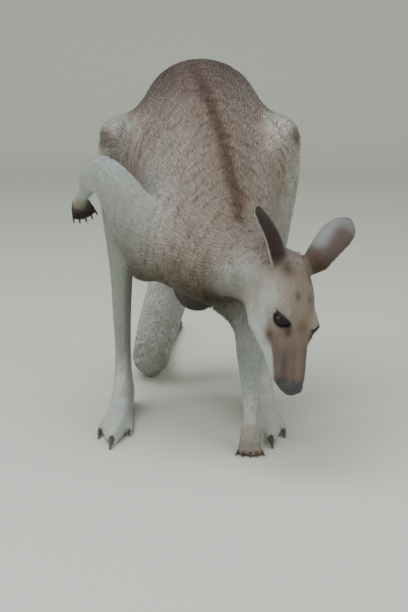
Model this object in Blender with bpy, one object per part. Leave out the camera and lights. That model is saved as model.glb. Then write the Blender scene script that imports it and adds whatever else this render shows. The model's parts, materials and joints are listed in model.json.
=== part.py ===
"""A female eastern grey kangaroo, life size, as a still museum model.

She stands on both hind feet, her tail and her left hand, head down to graze, and lifts her bent
right arm. Units are metres, +Z is up, she faces -Y and her own left side is +X.

The flesh is modelled whole: each muscle mass is a loft along a few named stations, the lofts are
fused and smoothed, and thin cuts then part the body into head, neck, trunk, tail and limbs.
"""

import math

import bmesh
import bpy
import numpy as np
from mathutils import Matrix, Vector

# ---------------------------------------------------------------- driving dimensions

CUT_GAP = 0.0004  # the width of the thin cuts between neighbouring nodes
FOOT_LENGTH = 0.275  # back of the heel to the root of the great claw
EYE_RADIUS = 0.0135
EAR_LENGTH = 0.109
EAR_WALL = 0.0034
EAR_SUNK = 0.012  # how deep the root of an ear's funnel bends into the head
PAD_PRESS = 0.003  # how much of the rounded pads is pressed flat where she rests on the floor

FINE_VOXEL = 0.0026  # grain of the fused flesh
BODY_TRIANGLES = 2380  # of the fused head, trunk, arms and tail, before they are parted
LEG_TRIANGLES = 500  # of each fused hind leg

LEFT, RIGHT = 1.0, -1.0  # her own sides: left is +X

# ---------------------------------------------------------------- the pose: joints in space

KNEE = {LEFT: Vector((0.122, -0.005, 0.480)), RIGHT: Vector((-0.136, -0.005, 0.478))}
HIP = {LEFT: Vector((0.062, 0.225, 0.480)), RIGHT: Vector((-0.062, 0.225, 0.480))}
ANKLE = {LEFT: Vector((0.101, 0.122, 0.062)), RIGHT: Vector((-0.139, 0.122, 0.062))}
TOE = {LEFT: Vector((0.107, -0.098, 0.0)), RIGHT: Vector((-0.147, -0.104, 0.0))}

SHOULDER = {LEFT: Vector((0.080, -0.088, 0.316)), RIGHT: Vector((-0.086, -0.105, 0.320))}
ELBOW = {LEFT: Vector((0.071, -0.078, 0.196)), RIGHT: Vector((-0.151, -0.130, 0.441))}
WRIST = {LEFT: Vector((0.073, -0.098, 0.044)), RIGHT: Vector((-0.201, 0.018, 0.380))}

NAPE = Vector((0.096, -0.190, 0.302))
SKULL_BACK = Vector((0.1208, -0.215, 0.300))
NOSE_TIP = Vector((0.1265, -0.304, 0.1415))
FACE_TURN = math.radians(38)  # the face turns this far to her left of straight ahead

# ---------------------------------------------------------------- mesh helpers


def link(name, mesh):
    """A new object that carries this mesh in the scene."""
    made = bpy.data.objects.new(name, mesh)
    bpy.context.scene.collection.objects.link(made)
    return made


def face_outward(bm):
    """Turns all the faces of a closed mesh outward."""
    bm.normal_update()
    bmesh.ops.recalc_face_normals(bm, faces=bm.faces)
    if bm.calc_volume(signed=True) < 0:
        bmesh.ops.reverse_faces(bm, faces=bm.faces)


def smooth_path(stations, steps):
    """A Catmull-Rom curve through the rows of stations: each row is a centre and its radii."""
    rows = np.array(stations, float)
    padded = np.vstack([2 * rows[0] - rows[1], rows, 2 * rows[-1] - rows[-2]])
    found = []
    for i in range(len(rows) - 1):
        a, b, c, d = padded[i : i + 4]
        for t in np.linspace(0, 1, steps, endpoint=False):
            found.append(
                0.5 * (2 * b + (c - a) * t + (2 * a - 5 * b + 4 * c - d) * t**2 + (3 * b - a - 3 * c + d) * t**3)
            )
    found.append(rows[-1])
    return np.array(found)


def rounded_ends(path):
    """The path with a few shrinking rings added beyond each end, so that the loft ends in a dome."""
    domes = []
    for end, inner in ((path[0], path[1]), (path[-1], path[-2])):
        outward = end[:3] - inner[:3]
        outward = outward / np.linalg.norm(outward)
        reach = min(end[3:])
        rings = []
        for angle in np.radians([30, 58, 80]):
            ring = end.copy()
            ring[:3] += outward * reach * math.sin(angle)
            ring[3:] *= math.cos(angle)
            rings.append(ring)
        domes.append(rings)
    return np.vstack([domes[0][::-1], path, domes[1]])


def loft(name, stations, up, steps=4, sides=18, squareness=1.0):
    """A closed tube through stations (x, y, z, half width, half height up, half height down).

    up is the direction that the upper half faces; squareness under 1 fills out the corners.
    """
    path = rounded_ends(smooth_path(stations, steps))
    centres = path[:, :3]
    tangents = np.gradient(centres, axis=0)
    mesh = bpy.data.meshes.new(name)
    bm = bmesh.new()
    rings = []
    for row, tangent in zip(path, tangents):
        along = Vector(tangent).normalized()
        above = (Vector(up) - along * along.dot(Vector(up))).normalized()
        aside = along.cross(above)
        ring = []
        for k in range(sides):
            angle = 2 * math.pi * k / sides
            c, s = math.cos(angle), math.sin(angle)
            c = math.copysign(abs(c) ** squareness, c)
            s = math.copysign(abs(s) ** squareness, s)
            height = row[4] if s > 0 else row[5]
            ring.append(bm.verts.new(Vector(row[:3]) + aside * (row[3] * c) + above * (height * s)))
        rings.append(ring)
    for first, second in zip(rings, rings[1:]):
        for k in range(sides):
            n = (k + 1) % sides
            bm.faces.new((first[k], first[n], second[n], second[k]))
    bm.faces.new(rings[0][::-1])
    bm.faces.new(rings[-1])
    face_outward(bm)
    bm.to_mesh(mesh)
    bm.free()
    return link(name, mesh)


def station(point, width, up, down=None):
    """One row of a loft: a centre with its half width and its half heights."""
    return (*point, width, up, up if down is None else down)


def evaluated_mesh(source, name):
    """The mesh of an object with its modifiers applied."""
    graph = bpy.context.evaluated_depsgraph_get()
    graph.update()
    mesh = bpy.data.meshes.new_from_object(source.evaluated_get(graph))
    mesh.name = name
    return mesh


def baked(source):
    """Applies an object's modifiers to its own mesh."""
    mesh = evaluated_mesh(source, source.name)
    source.modifiers.clear()
    source.data = mesh
    return source


def joined(name, parts):
    """One object that holds the meshes of all these parts, which are removed."""
    bm = bmesh.new()
    for part in parts:
        bm.from_mesh(part.data)
        bpy.data.objects.remove(part)
    mesh = bpy.data.meshes.new(name)
    bm.to_mesh(mesh)
    bm.free()
    return link(name, mesh)


def fused(body, voxel, smoothing):
    """The union of a body's overlapping lofts, with the creases between them smoothed away."""
    remesh = body.modifiers.new("Fuse", "REMESH")
    remesh.mode = "VOXEL"
    remesh.voxel_size = voxel
    soften = body.modifiers.new("Soften", "SMOOTH")
    soften.factor = 0.5
    soften.iterations = smoothing
    return baked(body)


# ---------------------------------------------------------------- trunk, neck and tail


def trunk():
    """Rump, belly and chest, along an axis that climbs over the hips and drops to the shoulders."""
    return loft(
        "trunk_mass",
        [
            station((-0.008, 0.318, 0.415), 0.066, 0.078, 0.078),
            station((-0.007, 0.280, 0.440), 0.092, 0.112, 0.110),
            station((-0.006, 0.225, 0.456), 0.113, 0.140, 0.145),
            station((-0.005, 0.150, 0.450), 0.122, 0.158, 0.180),
            station((-0.003, 0.075, 0.413), 0.121, 0.160, 0.176),
            station((0.000, 0.000, 0.375), 0.118, 0.134, 0.146),
            station((0.000, -0.065, 0.342), 0.108, 0.100, 0.112),
            station((0.004, -0.120, 0.314), 0.093, 0.074, 0.077),
            station((0.014, -0.160, 0.296), 0.066, 0.054, 0.056),
        ],
        up=(0, 0, 1),
        sides=28,
        squareness=0.95,
    )


def pouch():
    """The bulge of the pouch under the belly."""
    return loft(
        "pouch_mass",
        [
            station((-0.012, 0.030, 0.238), 0.030, 0.030),
            station((-0.012, 0.080, 0.230), 0.044, 0.044, 0.050),
            station((-0.010, 0.135, 0.236), 0.048, 0.046, 0.052),
            station((-0.008, 0.190, 0.262), 0.036, 0.036),
        ],
        up=(0, 0, 1),
    )


def shoulders():
    """The muscle over each shoulder blade, which carries the arm."""
    parts = []
    for side in (LEFT, RIGHT):
        s = SHOULDER[side]
        size = 1.0 if side == LEFT else 1.14
        parts.append(
            loft(
                "shoulder_mass",
                [
                    station(s + Vector((-0.030 * side, 0.075, 0.045)), 0.034, 0.040),
                    station(s + Vector((-0.012 * side, 0.022, 0.012)), 0.042 * size, 0.048 * size),
                    station(s + Vector((0.0, -0.006, -0.010)), 0.038 * size, 0.042 * size),
                ],
                up=(0, 0, 1),
            )
        )
    return parts


def neck():
    return loft(
        "neck_mass",
        [
            station((0.012, -0.105, 0.325), 0.074, 0.062, 0.068),
            station((0.044, -0.145, 0.314), 0.062, 0.054, 0.062),
            station((0.074, -0.175, 0.304), 0.053, 0.046, 0.062),
            station(NAPE + Vector((-0.002, 0, -0.002)), 0.047, 0.040, 0.062),
            station(SKULL_BACK + Vector((-0.002, -0.010, -0.018)), 0.041, 0.036, 0.056),
        ],
        up=(0.10, -0.60, 0.85),
    )


def tail():
    """It hangs from the rump to the floor as a fifth leg, then turns back and lies along it."""
    return loft(
        "tail_mass",
        [
            station((-0.004, 0.235, 0.450), 0.082, 0.100),
            station((-0.008, 0.298, 0.412), 0.071, 0.082),
            station((-0.020, 0.345, 0.338), 0.056, 0.061),
            station((-0.046, 0.348, 0.240), 0.0460, 0.0490),
            station((-0.076, 0.308, 0.145), 0.0415, 0.0425),
            station((-0.092, 0.305, 0.085), 0.0395, 0.0405),
            station((-0.099, 0.336, 0.0505), 0.0380, 0.0385),
            station((-0.101, 0.386, 0.0375), 0.0362, 0.0365),
            station((-0.096, 0.478, 0.0300), 0.0305, 0.0310),
            station((-0.084, 0.610, 0.0228), 0.0240, 0.0240),
            station((-0.070, 0.730, 0.0172), 0.0184, 0.0184),
            station((-0.056, 0.835, 0.0127), 0.0138, 0.0138),
        ],
        up=(0, -0.6, 1),
        sides=20,
    )


# ---------------------------------------------------------------- hind legs


def hind_leg(side):
    """Thigh, shank and foot of one side."""
    knee, hip, ankle, toe = KNEE[side], HIP[side], ANKLE[side], TOE[side]
    out = Vector((side, 0, 0))
    parts = [
        loft(  # the front of the thigh, from the hip over the knee cap
            "thigh_mass",
            [
                station(hip + Vector((0, 0.020, -0.030)), 0.050, 0.075, 0.080),
                station(hip.lerp(knee, 0.35) + Vector((0, 0, -0.022)), 0.052, 0.070, 0.085),
                station(hip.lerp(knee, 0.72) + Vector((0, 0, -0.008)), 0.042, 0.054, 0.065),
                station(knee + Vector((0, 0.004, 0.0)), 0.033, 0.038, 0.045),
            ],
            up=(0, 0, 1),
        ),
        loft(  # the broad muscle on the outside of the thigh
            "thigh_side_mass",
            [
                station(Vector((0.100 * side, 0.275, 0.425)), 0.030, 0.060),
                station(Vector((0.108 * side, 0.185, 0.425)), 0.044, 0.092),
                station(Vector((0.116 * side, 0.090, 0.432)), 0.042, 0.084),
                station(knee + Vector((-0.002 * side, 0.022, -0.024)), 0.034, 0.055),
            ],
            up=(0, 0, 1),
        ),
        loft(  # the hamstrings, from the seat down to the calf
            "ham_mass",
            [
                station(hip + Vector((0.004 * side, 0.060, -0.075)), 0.044, 0.060),
                station(hip + Vector((0.030 * side, -0.010, -0.125)), 0.045, 0.062),
                station(knee + Vector((-0.012 * side, 0.085, -0.120)), 0.036, 0.046),
                station(knee + Vector((-0.008 * side, 0.060, -0.190)), 0.024, 0.030),
            ],
            up=(0, 1, 0.3),
        ),
        loft(  # the shank: calf above, slim shin and tendon below
            "shank_mass",
            [
                station(knee + Vector((0, 0.002, 0.004)), 0.034, 0.038),
                station(knee.lerp(ankle, 0.16) + Vector((0.002 * side, 0.012, 0)), 0.034, 0.046, 0.038),
                station(knee.lerp(ankle, 0.34) + Vector((0, 0.010, 0)), 0.029, 0.042, 0.030),
                station(knee.lerp(ankle, 0.55) + Vector((0, 0.002, 0)), 0.020, 0.030, 0.022),
                station(knee.lerp(ankle, 0.78), 0.0165, 0.024, 0.018),
                station(ankle + Vector((0, 0.004, 0.004)), 0.0195, 0.026, 0.020),
            ],
            up=(0, 1, 0.2),
        ),
    ]
    parts += foot_flesh(side)
    return parts


def foot_axes(side):
    """(heel, unit vector forward along the foot, unit vector to its outer side)."""
    ankle, toe = ANKLE[side], TOE[side]
    forward = Vector((toe.x - ankle.x, toe.y - ankle.y, 0)).normalized()
    outer = Vector((forward.y, -forward.x, 0)) * -side
    heel = Vector((toe.x, toe.y, 0)) - forward * FOOT_LENGTH
    return heel, forward, outer


def foot_flesh(side):
    heel, forward, outer = foot_axes(side)

    def at(length, aside, height):
        return heel + forward * length + outer * aside + Vector((0, 0, height))

    return [
        loft(  # heel, sole and the great fourth toe
            "foot_mass",
            [
                station(at(0.014, 0, 0.030), 0.019, 0.030, 0.030),
                station(at(0.060, 0, 0.030), 0.021, 0.030, 0.030),
                station(at(0.120, 0, 0.022), 0.020, 0.022, 0.022),
                station(at(0.180, 0, 0.018), 0.020, 0.019, 0.018),
                station(at(0.225, 0, 0.016), 0.018, 0.017, 0.016),
                station(at(0.262, 0, 0.013), 0.0125, 0.013, 0.013),
            ],
            up=(0, 0, 1),
            squareness=0.85,
        ),
        loft(  # the instep rising to the ankle
            "instep_mass",
            [
                station(at(0.016, 0, 0.048), 0.015, 0.020),
                station(ANKLE[side] + Vector((0, 0.004, -0.004)), 0.0195, 0.024),
                station(at(0.110, 0, 0.036), 0.015, 0.016),
            ],
            up=(0, 0, 1),
        ),
        loft(  # the outer, fifth toe
            "outer_toe_mass",
            [
                station(at(0.110, 0.011, 0.014), 0.012, 0.014),
                station(at(0.165, 0.018, 0.0125), 0.0115, 0.013, 0.0125),
                station(at(0.212, 0.024, 0.0100), 0.0085, 0.010),
            ],
            up=(0, 0, 1),
        ),
        loft(  # the inner second and third toes, joined in one skin
            "inner_toe_mass",
            [
                station(at(0.120, -0.012, 0.014), 0.010, 0.012),
                station(at(0.175, -0.020, 0.011), 0.0085, 0.010),
                station(at(0.208, -0.024, 0.009), 0.0070, 0.0085),
            ],
            up=(0, 0, 1),
        ),
    ]


# ---------------------------------------------------------------- arms


def arm(side):
    s, e, w = SHOULDER[side], ELBOW[side], WRIST[side]
    if side == LEFT:
        upper = [
            station(s, 0.036, 0.040),
            station(s.lerp(e, 0.45), 0.031, 0.034),
            station(s.lerp(e, 0.85), 0.026, 0.028),
            station(e, 0.023, 0.025),
        ]
        bulge, up = Vector((0, 0.004, 0)), (0, 1, 0.4)
        web = [  # the fold of skin from the breast to the elbow
            station((0.002, -0.063, 0.244), 0.019, 0.023),
            station((0.0345, -0.063, 0.2225), 0.0165, 0.019),
            station(e + Vector((-0.004, 0, 0.007)), 0.0175, 0.019),
        ]
    else:
        upper = [
            station(s + Vector((-0.004, -0.004, 0.004)), 0.047, 0.046),
            station(s.lerp(e, 0.40) + Vector((0.004, 0, 0)), 0.044, 0.040),
            station(s.lerp(e, 0.75) + Vector((0.006, 0, 0)), 0.037, 0.034),
            station(e + Vector((0.002, 0, 0)), 0.0285, 0.0275),
        ]
        bulge, up = Vector((-0.007, 0, 0.005)), (0.0, 0.3, 1)
        web = []
    lower = [
        station(e, 0.0245, 0.0265),
        station(e.lerp(w, 0.25) + bulge, 0.0240, 0.0265),
        station(e.lerp(w, 0.58) + bulge * 0.6, 0.0165, 0.0180),
        station(w, 0.0120, 0.0130),
    ]
    masses = [loft("upper_arm_mass", upper, up), loft("forearm_mass", lower, up)]
    return masses + ([loft("web_mass", web, up)] if web else [])


def hand_axes(side):
    """(wrist, unit vector along the hand, unit vector to its inner edge, unit vector out of its back)."""
    if side == LEFT:
        along = Vector((-0.03, -0.90, -0.40)).normalized()
        back = Vector((0.0, -0.40, 0.90))
    else:
        along = Vector((0.0, 0.92, -0.40)).normalized()
        back = Vector((-0.35, 0.40, 0.85))
    back = (back - along * along.dot(back)).normalized()
    inner = along.cross(back) * side
    return WRIST[side], along, inner, back


FINGER_REACH = (0.022, 0.029, 0.031, 0.029, 0.023)  # thumb to little finger


def finger_line(side, k):
    """(root, knuckle, tip) of finger k, the thumb first."""
    wrist, along, inner, back = hand_axes(side)
    fan = (2 - k) * 0.0088
    root = wrist + along * 0.022 + inner * fan * 0.6
    ahead = (along + inner * (2 - k) * 0.12).normalized()
    if side == LEFT:  # flat on the floor
        ahead = Vector((ahead.x, ahead.y, 0)).normalized()
        root.z = max(root.z, 0.012)
        knuckle = Vector((root.x, root.y, 0.0080)) + ahead * 0.012
        tip = Vector((root.x, root.y, 0.0075)) + ahead * (0.012 + FINGER_REACH[k])
    else:  # hanging, slightly curled towards the palm
        knuckle = root + ahead * 0.014
        tip = knuckle + (ahead - back * 0.40).normalized() * FINGER_REACH[k]
    return root, knuckle, tip


def hand_flesh(side):
    wrist, along, inner, back = hand_axes(side)
    palm_end = wrist + along * 0.034
    if side == LEFT:
        palm_end = Vector((palm_end.x, palm_end.y - 0.004, 0.0125))
    parts = [
        loft(
            "palm_mass",
            [
                station(wrist, 0.0125, 0.0135),
                station(wrist.lerp(palm_end, 0.5), 0.0165, 0.0125),
                station(palm_end, 0.0190, 0.0100),
            ],
            back,
        )
    ]
    for k in range(5):
        root, knuckle, tip = finger_line(side, k)
        parts.append(
            loft(
                "finger_mass",
                [station(root, 0.0062, 0.0062), station(knuckle, 0.0058, 0.0060), station(tip, 0.0042, 0.0042)],
                back,
                steps=3,
                sides=10,
            )
        )
    return parts


# ---------------------------------------------------------------- head


def head_axes():
    """(back of the skull, unit vector to the nose, unit vector to her left, unit vector out of the brow)."""
    ahead = (NOSE_TIP - SKULL_BACK).normalized()
    facing = Vector((math.sin(FACE_TURN), -math.cos(FACE_TURN), 0))
    brow = (facing - ahead * ahead.dot(facing)).normalized()
    return SKULL_BACK, ahead, ahead.cross(brow) * -1, brow


def in_head(ahead_by, left_by, brow_by):
    origin, ahead, left, brow = head_axes()
    return origin + ahead * ahead_by + left * left_by + brow * brow_by


# distance from the back of the skull, half width, brow side and throat side of the face
HEAD_PROFILE = (
    (-0.012, 0.036, 0.028, 0.042),
    (0.012, 0.0425, 0.034, 0.053),
    (0.040, 0.0450, 0.037, 0.063),
    (0.066, 0.0430, 0.0345, 0.066),
    (0.090, 0.0370, 0.0290, 0.0600),
    (0.115, 0.0305, 0.0245, 0.0500),
    (0.140, 0.0265, 0.0205, 0.0410),
    (0.160, 0.0240, 0.0180, 0.0325),
    (0.173, 0.0195, 0.0135, 0.0225),
)


def head_flesh():
    _, ahead, left, brow = head_axes()
    parts = [
        loft(
            "head_mass",
            [station(in_head(at, 0, 0), width, up, down) for at, width, up, down in HEAD_PROFILE],
            brow,
            sides=22,
        )
    ]
    parts.append(
        loft(  # the loose skin of the throat, which runs on into the neck
            "throat_mass",
            [
                station(in_head(-0.030, 0, -0.036), 0.036, 0.036),
                station(in_head(0.015, 0, -0.046), 0.034, 0.037),
                station(in_head(0.060, 0, -0.044), 0.028, 0.030),
                station(in_head(0.095, 0, -0.036), 0.020, 0.024),
            ],
            brow,
        )
    )
    for side in (LEFT, RIGHT):
        parts.append(
            loft(  # the brow and cheek bone round the eye
                "brow_mass",
                [
                    station(in_head(0.058, 0.030 * side, 0.012), 0.010, 0.014),
                    station(in_head(0.080, 0.0305 * side, 0.0150), 0.0105, 0.0150),
                    station(in_head(0.104, 0.025 * side, 0.008), 0.008, 0.010),
                ],
                brow,
            )
        )
        parts.append(
            loft(  # the muscle of the jaw
                "cheek_mass",
                [
                    station(in_head(0.026, 0.024 * side, -0.026), 0.014, 0.024),
                    station(in_head(0.062, 0.025 * side, -0.034), 0.014, 0.026),
                    station(in_head(0.100, 0.018 * side, -0.030), 0.009, 0.017),
                ],
                brow,
            )
        )
    return parts


EAR_REACH = {  # which way each ear points, and which way its cup opens
    LEFT: (Vector((0.061, 0.048, 0.061)), Vector((0.30, 0.90, -0.35))),
    RIGHT: (Vector((-0.038, 0.054, 0.078)), Vector((-0.89, 0.45, -0.05))),
}
EAR_ROOT = {LEFT: (-0.003, 0.028, 0.014), RIGHT: (0.009, -0.026, 0.018)}
# along the ear: half width, and how far round the cup wraps in degrees
EAR_PROFILE = (
    (0.00, 0.0095, 220),
    (0.10, 0.0170, 200),
    (0.22, 0.0198, 175),
    (0.45, 0.0235, 130),
    (0.70, 0.0262, 105),
    (0.86, 0.0225, 90),
    (0.96, 0.0135, 80),
    (1.00, 0.0045, 75),
)


def ear(side):
    """A long cup with a rounded tip; its back is towards the brow."""
    reach, open_to = EAR_REACH[side]
    along = reach.normalized()
    open_to = (open_to - along * along.dot(open_to)).normalized()
    aside = along.cross(open_to)
    root = in_head(*EAR_ROOT[side])
    inward = (in_head(0, 0, 0) - in_head(0, 0, 1)).normalized()
    rows, columns = 10, 6
    at, half_widths, wraps = (np.array(column) for column in zip(*EAR_PROFILE))
    bm = bmesh.new()
    grid = []
    for i in range(rows):
        t = math.sin(math.pi / 2 * i / (rows - 1)) ** 0.9
        wrap = math.radians(float(np.interp(t, at, wraps)))
        width = float(np.interp(t, at, half_widths))
        radius = width / math.sin(min(wrap, math.pi) / 2)
        centre = root + along * (EAR_LENGTH * t) + open_to * (radius - 0.010 - 0.008 * math.sin(math.pi * t))
        centre += inward * (EAR_SUNK * max(0.0, 1 - t / 0.20) ** 2)
        row = []
        for k in range(columns + 1):
            angle = (k / columns - 0.5) * wrap
            row.append(bm.verts.new(centre + aside * (radius * math.sin(angle)) - open_to * (radius * math.cos(angle))))
        grid.append(row)
    for lower, upper in zip(grid, grid[1:]):
        for k in range(columns):
            bm.faces.new((lower[k], lower[k + 1], upper[k + 1], upper[k]))
    mesh = bpy.data.meshes.new("ear")
    bm.to_mesh(mesh)
    bm.free()
    made = link("ear", mesh)
    wall = made.modifiers.new("Wall", "SOLIDIFY")
    wall.thickness = EAR_WALL
    wall.offset = 0
    return baked(made)


# ---------------------------------------------------------------- parting the body into nodes


def ellipsoid(centre, axes, radii, grow, fineness=3):
    """A closed ellipsoid; axes are its three unit directions."""
    mesh = bpy.data.meshes.new("region")
    bm = bmesh.new()
    bmesh.ops.create_icosphere(bm, subdivisions=fineness, radius=1.0)
    a, b, c = axes
    for vert in bm.verts:
        p = vert.co
        vert.co = (
            Vector(centre) + a * (p.x * (radii[0] + grow)) + b * (p.y * (radii[1] + grow)) + c * (p.z * (radii[2] + grow))
        )
    face_outward(bm)
    bm.to_mesh(mesh)
    bm.free()
    return link("region", mesh)


def box(start, ahead, reach, up, aside_reach, up_reach, down_reach, grow):
    """A closed box that starts at a plane through start and runs ahead."""
    ahead = ahead.normalized()
    up = (up - ahead * ahead.dot(up)).normalized()
    aside = ahead.cross(up)
    bm = bmesh.new()
    bmesh.ops.create_cube(bm, size=2.0)
    for vert in bm.verts:
        p = vert.co
        far = reach if p.x > 0 else -grow
        height = up_reach + grow if p.z > 0 else -down_reach - grow
        vert.co = start + ahead * far + aside * (p.y * (aside_reach + grow)) + up * height
    face_outward(bm)
    mesh = bpy.data.meshes.new("region")
    bm.to_mesh(mesh)
    bm.free()
    return link("region", mesh)


def combined(target, tool, operation):
    """Applies one exact boolean and removes the tool."""
    step = target.modifiers.new("Cut", "BOOLEAN")
    step.operation = operation
    step.solver = "MANIFOLD"
    step.object = tool
    baked(target)
    bpy.data.objects.remove(tool)
    return target


def copy_of(source, name):
    return link(name, source.data.copy())


def pieces_of(mesh):
    """The connected pieces of a bmesh, the biggest first, each a list of its vertices."""
    seen, pieces = set(), []
    for start in mesh.verts:
        if start.index in seen:
            continue
        piece, queue = [], [start]
        seen.add(start.index)
        while queue:
            vert = queue.pop()
            piece.append(vert)
            for edge in vert.link_edges:
                other = edge.other_vert(vert)
                if other.index not in seen:
                    seen.add(other.index)
                    queue.append(other)
        pieces.append(piece)
    return sorted(pieces, key=len, reverse=True)


def kept(target, choose):
    """Keeps only one connected piece of an object; choose(pieces) picks it."""
    bm = bmesh.new()
    bm.from_mesh(target.data)
    bm.verts.ensure_lookup_table()
    pieces = pieces_of(bm)
    wanted = choose(pieces)
    dropped = [vert for piece in pieces if piece is not wanted for vert in piece]
    bmesh.ops.delete(bm, geom=dropped, context="VERTS")
    bm.to_mesh(target.data)
    bm.free()
    return target, len(dropped)


def largest_piece(target):
    target, dropped = kept(target, lambda pieces: pieces[0])
    if dropped:
        print("dropped", dropped, "vertices from", target.name)
    return target


def broken_off(body, anchor):
    """Takes away the loose piece of the body that lies nearest the anchor, as an object."""

    def nearest(pieces):
        return min(pieces, key=lambda piece: min((vert.co - anchor).length for vert in piece))

    piece, rest = kept(copy_of(body, "piece"), nearest)
    if not rest:
        raise ValueError(f"nothing is loose near {tuple(anchor)}")
    bm = bmesh.new()
    bm.from_mesh(body.data)
    bm.verts.ensure_lookup_table()
    bmesh.ops.delete(bm, geom=nearest(pieces_of(bm)), context="VERTS")
    bm.to_mesh(body.data)
    bm.free()
    return piece


def parted(body, name, region):
    """Takes the part of the body inside a region away as a node of its own; region(grow) builds it."""
    inside = combined(copy_of(body, name), region(-CUT_GAP / 2), "INTERSECT")
    combined(body, region(CUT_GAP / 2), "DIFFERENCE")
    return largest_piece(inside)


X, Y, Z = Vector((1, 0, 0)), Vector((0, 1, 0)), Vector((0, 0, 1))


def swollen(source, by):
    """A copy of a mesh pushed outward by a small amount."""
    made = copy_of(source, "swollen")
    push = made.modifiers.new("Push", "DISPLACE")
    push.strength = by
    push.mid_level = 0
    return baked(made)


def part_leg(leg, side, body):
    """Fits a fused leg against the body and cuts it into thigh, shank and foot."""
    word = "left" if side == LEFT else "right"
    k, a = KNEE[side], ANKLE[side]
    largest_piece(combined(leg, swollen(body, CUT_GAP), "DIFFERENCE"))
    foot = parted(leg, f"foot_{word}", lambda g: box(Vector((a.x, a.y, 0.078)), Z * -1, 0.2, Y, 0.3, 0.3, 0.4, g))
    shank = parted(leg, f"shank_{word}", lambda g: box(k.lerp(a, 0.24), a - k, 0.6, Y, 0.3, 0.05, 0.3, g))
    leg.name = f"thigh_{word}"
    return [foot, shank, largest_piece(leg)]


def part_body(body):
    """Cuts the fused body into its named nodes, the outermost first."""
    nodes = []

    def take(name, region):
        nodes.append(parted(body, name, region))

    _, ahead, left, brow = head_axes()
    take("nose", lambda g: ellipsoid(in_head(0.180, 0, 0.001), (ahead, left, brow), (0.017, 0.0175, 0.0145), g, 2))
    take(
        "lower_jaw",
        lambda g: box(in_head(0.090, 0, -0.0165), ahead * 1.0 - brow * 0.10, 0.12, brow, 0.05, 0.0, 0.09, g),
    )
    take("head", lambda g: box(in_head(-0.004, 0, 0), ahead, 0.25, brow, 0.075, 0.080, 0.085, g))
    for side, word in ((LEFT, "left"), (RIGHT, "right")):
        s, e, w = SHOULDER[side], ELBOW[side], WRIST[side]
        humerus = (e - s).normalized()
        across = humerus.cross(Y).normalized()
        reach, spread = ((e - s).length * 0.70, 0.058) if side == LEFT else ((e - s).length * 0.62, 0.070)
        take(
            f"upper_arm_{word}",
            lambda g: ellipsoid(s.lerp(e, 0.56), (humerus, across, humerus.cross(across)), (reach, spread, spread), g, 2),
        )
        lower_arm = broken_off(body, w)
        hand_ahead = hand_axes(side)[1] + (w - e).normalized()
        nodes.append(parted(lower_arm, f"hand_{word}", lambda g: box(w, hand_ahead, 0.2, Z, 0.1, 0.1, 0.1, g)))
        lower_arm.name = f"forearm_{word}"
        nodes.append(largest_piece(lower_arm))
    take("neck", lambda g: box(Vector((0.040, -0.142, 0.312)), Vector((0.72, -0.66, -0.14)), 0.20, Z, 0.10, 0.10, 0.10, g))
    take("pouch", lambda g: ellipsoid((-0.011, 0.110, 0.212), (X, Y, Z), (0.054, 0.092, 0.050), g, 2))
    tail_start = Vector((-0.020, 0.352, 0.338))
    take("tail_base", lambda g: box(tail_start, Vector((-0.10, 0.70, -0.70)), 1.2, X, 1.0, 0.14, 0.18, g))
    base = nodes[-1]
    nodes.append(parted(base, "tail_tip", lambda g: box(Vector((-0.083, 0.620, 0.02)), Y, 0.5, Z, 0.1, 0.1, 0.1, g)))
    nodes.append(parted(base, "tail_middle", lambda g: box(Vector((-0.098, 0.372, 0.04)), Y, 0.5, Z, 0.1, 0.1, 0.1, g)))
    body.name = "trunk"
    nodes.append(largest_piece(body))
    return {node.name: node for node in nodes}


# ---------------------------------------------------------------- claws and eyes


def claw(root, ahead, down, length, radius, grow=0.0):
    """A tapering, down-curved claw; grow widens it to cut its socket."""
    ahead = ahead.normalized()
    start = root - ahead * (radius * 1.2 + grow)
    bm = bmesh.new()
    rings = []
    full = length + radius * 1.2
    for t in (0.0, 0.35, 0.70, 0.93):
        size = radius * (1 - t) ** 0.55 + grow
        centre = start + ahead * (full * t) + down * (length * 0.22 * t * t)
        above = down * -1
        aside = ahead.cross(above).normalized()
        ring = []
        for k in range(6):
            angle = 2 * math.pi * k / 6
            ring.append(bm.verts.new(centre + aside * (size * 0.85 * math.cos(angle)) + above * (size * math.sin(angle))))
        rings.append(ring)
    for first, second in zip(rings, rings[1:]):
        for k in range(6):
            n = (k + 1) % 6
            bm.faces.new((first[k], first[n], second[n], second[k]))
    bm.faces.new(rings[0][::-1])
    bm.faces.new(rings[-1])
    face_outward(bm)
    mesh = bpy.data.meshes.new("claw")
    bm.to_mesh(mesh)
    bm.free()
    return link("claw", mesh)


def claw_places(side):
    """(name, limb node, root, direction, down, length, radius) of every claw of one side."""
    word = "left" if side == LEFT else "right"
    heel, forward, outer = foot_axes(side)

    def at(length, aside, height):
        return heel + forward * length + outer * aside + Vector((0, 0, height))

    down = Vector((0, 0, -1))
    found = [
        (f"great_claw_{word}", f"foot_{word}", at(0.270, 0, 0.0132), forward - Z * 0.10, down, 0.030, 0.0065),
        (f"outer_claw_{word}", f"foot_{word}", at(0.217, 0.0243, 0.0102), forward - Z * 0.08, down, 0.022, 0.0050),
        (f"comb_claw_a_{word}", f"foot_{word}", at(0.212, -0.0235, 0.0102), forward - Z * 0.08, down, 0.014, 0.0030),
        (f"comb_claw_b_{word}", f"foot_{word}", at(0.212, -0.0165, 0.0102), forward - Z * 0.08, down, 0.014, 0.0030),
    ]
    back = hand_axes(side)[3]
    for k in range(5):
        root, knuckle, tip = finger_line(side, k)
        ahead = (tip - knuckle).normalized()
        if side == LEFT:
            ahead = Vector((ahead.x, ahead.y, -0.06))
        found.append((f"finger_claw_{k + 1}_{word}", f"hand_{word}", tip, ahead, back * -1, 0.0115, 0.0030))
    return found


def eye_centre(side):
    return in_head(0.0820, 0.0302 * side, 0.0165)


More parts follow.
